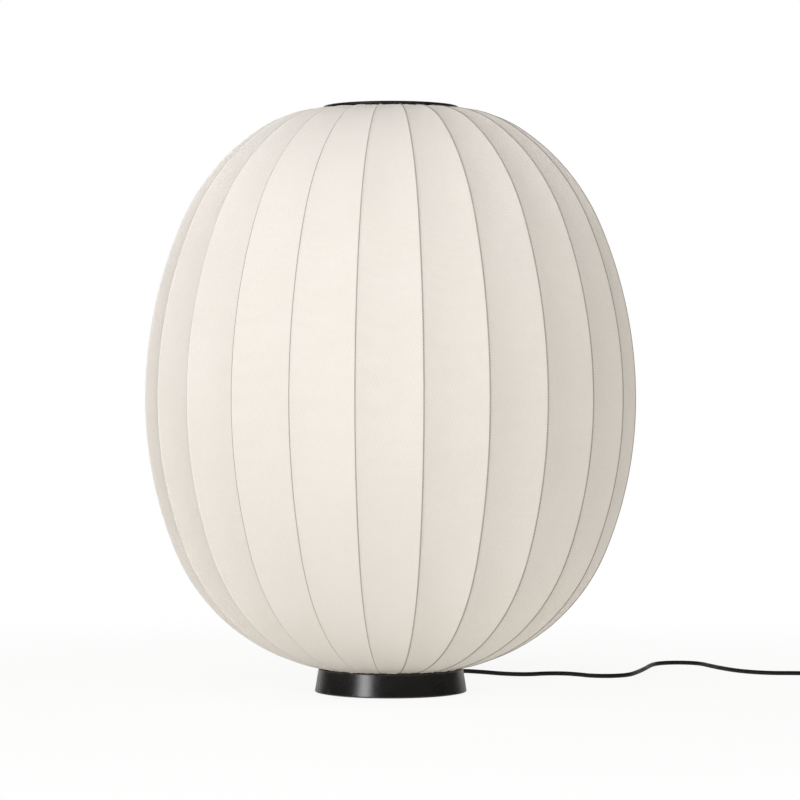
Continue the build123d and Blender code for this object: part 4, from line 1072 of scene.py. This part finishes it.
    def channels(self, finishes: Finishes) -> bpy.types.Object:
        """Narrow strips of knit inside the cover, one over each rib, that hold the rods.

        In words: across a strip the depth below the cover is the least depth plus the bulge times
        exp(-(distance / bulge width)^4), and the strip is closed at its edges.
        """
        line = self.line(self.channel_rows, self.channel_trim)
        off = np.linspace(-self.channel_half, self.channel_half, 13)
        depth = self.channel_depth + self.channel_bulge * np.exp(-((off / self.channel_bulge_width) ** 4))
        off = np.concatenate([off, off[::-1]])
        depth = np.concatenate([depth, depth[::-1] + self.channel_thickness])
        turn = off[None] / line["radius"]
        first = self.place(line, np.abs(turn), -np.repeat(depth[None], self.channel_rows, 0))
        first[..., 1] *= np.sign(turn)
        copies = self.all_round(first, False)
        rows = line["along"][[*range(self.channel_rows), -1]] / self.stitch_row
        across = np.concatenate([off, off[:1]])[None] / self.channel_stitch
        loops = np.stack(np.broadcast_arrays(across, rows), -1)
        piece = skin("rib_channels", list(copies), along=False, loops=loops)
        return ride(piece, "lamp", "cover_knit", finishes["cover_knit"])

    def wander(self, turn: np.ndarray, seed: int, waves: tuple[int, ...]) -> np.ndarray:
        """A gentle uneven line round the lamp, from -1 to 1: a sum of sines with fixed phases."""
        phase = np.random.default_rng(seed).uniform(0, 2 * np.pi, len(waves))
        return np.sin(turn[..., None] * np.array(waves) + phase).sum(-1) / math.sqrt(len(waves) * 2)

    def hem(
        self,
        name: str,
        radius: float,
        height: float,
        roll: float,
        drop: float,
        seed: int,
        finishes: Finishes,
        unevenness: float = 0.00032,
    ) -> bpy.types.Object:
        """A rolled hem: a small circle carried round the mouth, uneven as knitted edges are.

        In words: the roll's middle keeps its radius, and its height wanders and shifts by the drop
        at each rib, as a bell curve of the distance from the rib. The roll's own radius wanders too.

        Args:
            name: the piece's name.
            radius: radius of the roll's middle about the lamp's axis.
            height: height of the roll's middle.
            roll: radius of the roll.
            drop: how far the roll stands up at a rib, negative for down.
            seed: picks the wandering.
            finishes: the materials.
            unevenness: how far the height wanders.

        Returns:
            The hem.
        """
        count = self.rib_count * 26
        turn = np.linspace(0, 2 * np.pi, count, endpoint=False)
        from_rib = (turn - math.radians(self.first_rib)) / self.gore
        off = np.abs(from_rib - np.round(from_rib)) * self.gore * radius
        lift = drop * np.exp(-((off / self.hem_lift_width) ** 2))
        high = height + lift + unevenness * self.wander(turn, seed, (5, 13, 31, 67))
        thick = roll * (1 + 0.12 * self.wander(turn, seed + 1, (7, 29, 83)))
        round_it = np.linspace(0, 2 * np.pi, 14, endpoint=False)[:, None]
        out = radius + thick * np.cos(round_it)
        points = np.stack([out * np.cos(turn), out * np.sin(turn), high + thick * np.sin(round_it)], -1)
        across = np.linspace(0, self.rib_count * 14, count + 1)[None]
        rows = np.linspace(0, 5, 15)[:, None]
        piece = skin(name, [points], loops=np.stack(np.broadcast_arrays(across, rows), -1))
        return ride(piece, "lamp", "cover_knit", finishes["cover_knit"])

    def build(self, finishes: Finishes) -> None:
        cover = self.cover(finishes)
        sewn = [
            self.channels(finishes),
            self.hem("hem_top", 0.0917, 0.7716, 0.0009, 0.0008, 3, finishes),
            self.hem("hem_bottom", 0.0939, 0.0334, 0.0012, 0.0012, 8, finishes, 0.0006),
        ]
        length = float(self.line(2)["along"][-1, 0])


# Fittings


@dataclass
class Fittings:
    """Small moulded details on the gland, foot switch and plug."""

    gland_face: float = 0.10097
    gland_height: float = 0.0115
    switch_place: tuple[float, float] = (0.625, 0.102)
    switch_half: float = 0.038
    switch_cord: float = 0.0065
    button_top: float = 0.024
    button_rings: tuple[float, ...] = (0.0035, 0.0062, 0.0089)
    plug_place: tuple[float, float] = (0.624, -0.208)
    plug_half: float = 0.00685

    def sleeves(self, finishes: Finishes) -> None:
        """The gland's sleeve in the base's wall, and those of the switch and the plug."""
        gland = Sleeve(
            "gland_sleeve",
            (0.0, self.gland_face, self.gland_height),
            (0.0, 1.0, 0.0),
            length=0.0278,
            root=0.0058,
            tip=0.0043,
            collar=0.0075,
        )
        gland.build(finishes)
        across, back = self.switch_place
        for name, toward in (("switch_sleeve_in", 1.0), ("switch_sleeve_out", -1.0)):
            start = (across, back + toward * self.switch_half, self.switch_cord)
            sleeve = Sleeve(name, start, (0.0, toward, 0.0), 0.023, 0.0058, 0.0041, groove_depth=0.0007)
            sleeve.build(finishes)
        start = (self.plug_place[0], self.plug_place[1], self.plug_half)
        sleeve = Sleeve("plug_sleeve", start, (0.0, 1.0, 0.0), 0.025, 0.006, 0.0042, groove_depth=0.0008)
        sleeve.build(finishes)

    def rings(self, finishes: Finishes) -> None:
        """Raised rings on the foot button, each a small circle carried round its middle."""
        turn = np.linspace(0, 2 * np.pi, 48, endpoint=False)[None]
        round_it = np.linspace(0, 2 * np.pi, 10, endpoint=False)[:, None]
        sheets = []
        for radius in self.button_rings:
            out = radius + 0.0005 * np.cos(round_it)
            height = self.button_top + 0.0004 * np.sin(round_it) + 0 * turn
            x = self.switch_place[0] + out * np.cos(turn)
            sheets.append(np.stack([x, self.switch_place[1] + out * np.sin(turn), height], -1))
        piece = skin("button_rings", sheets)
        ride(piece, "button", "fitting_black", finishes["fitting_black"])

    def build(self, finishes: Finishes) -> None:
        """Makes every detail."""
        self.sleeves(finishes)
        self.rings(finishes)


def main() -> None:
    logging.basicConfig(level=logging.INFO, format="%(message)s")
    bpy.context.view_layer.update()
    finishes = Finishes()
    Studio().build()
    Cords().build(finishes)
    finishes.dress_frame()
    Shade().build(finishes)
    Fittings().build(finishes)


if __name__ == "__main__":
    main()
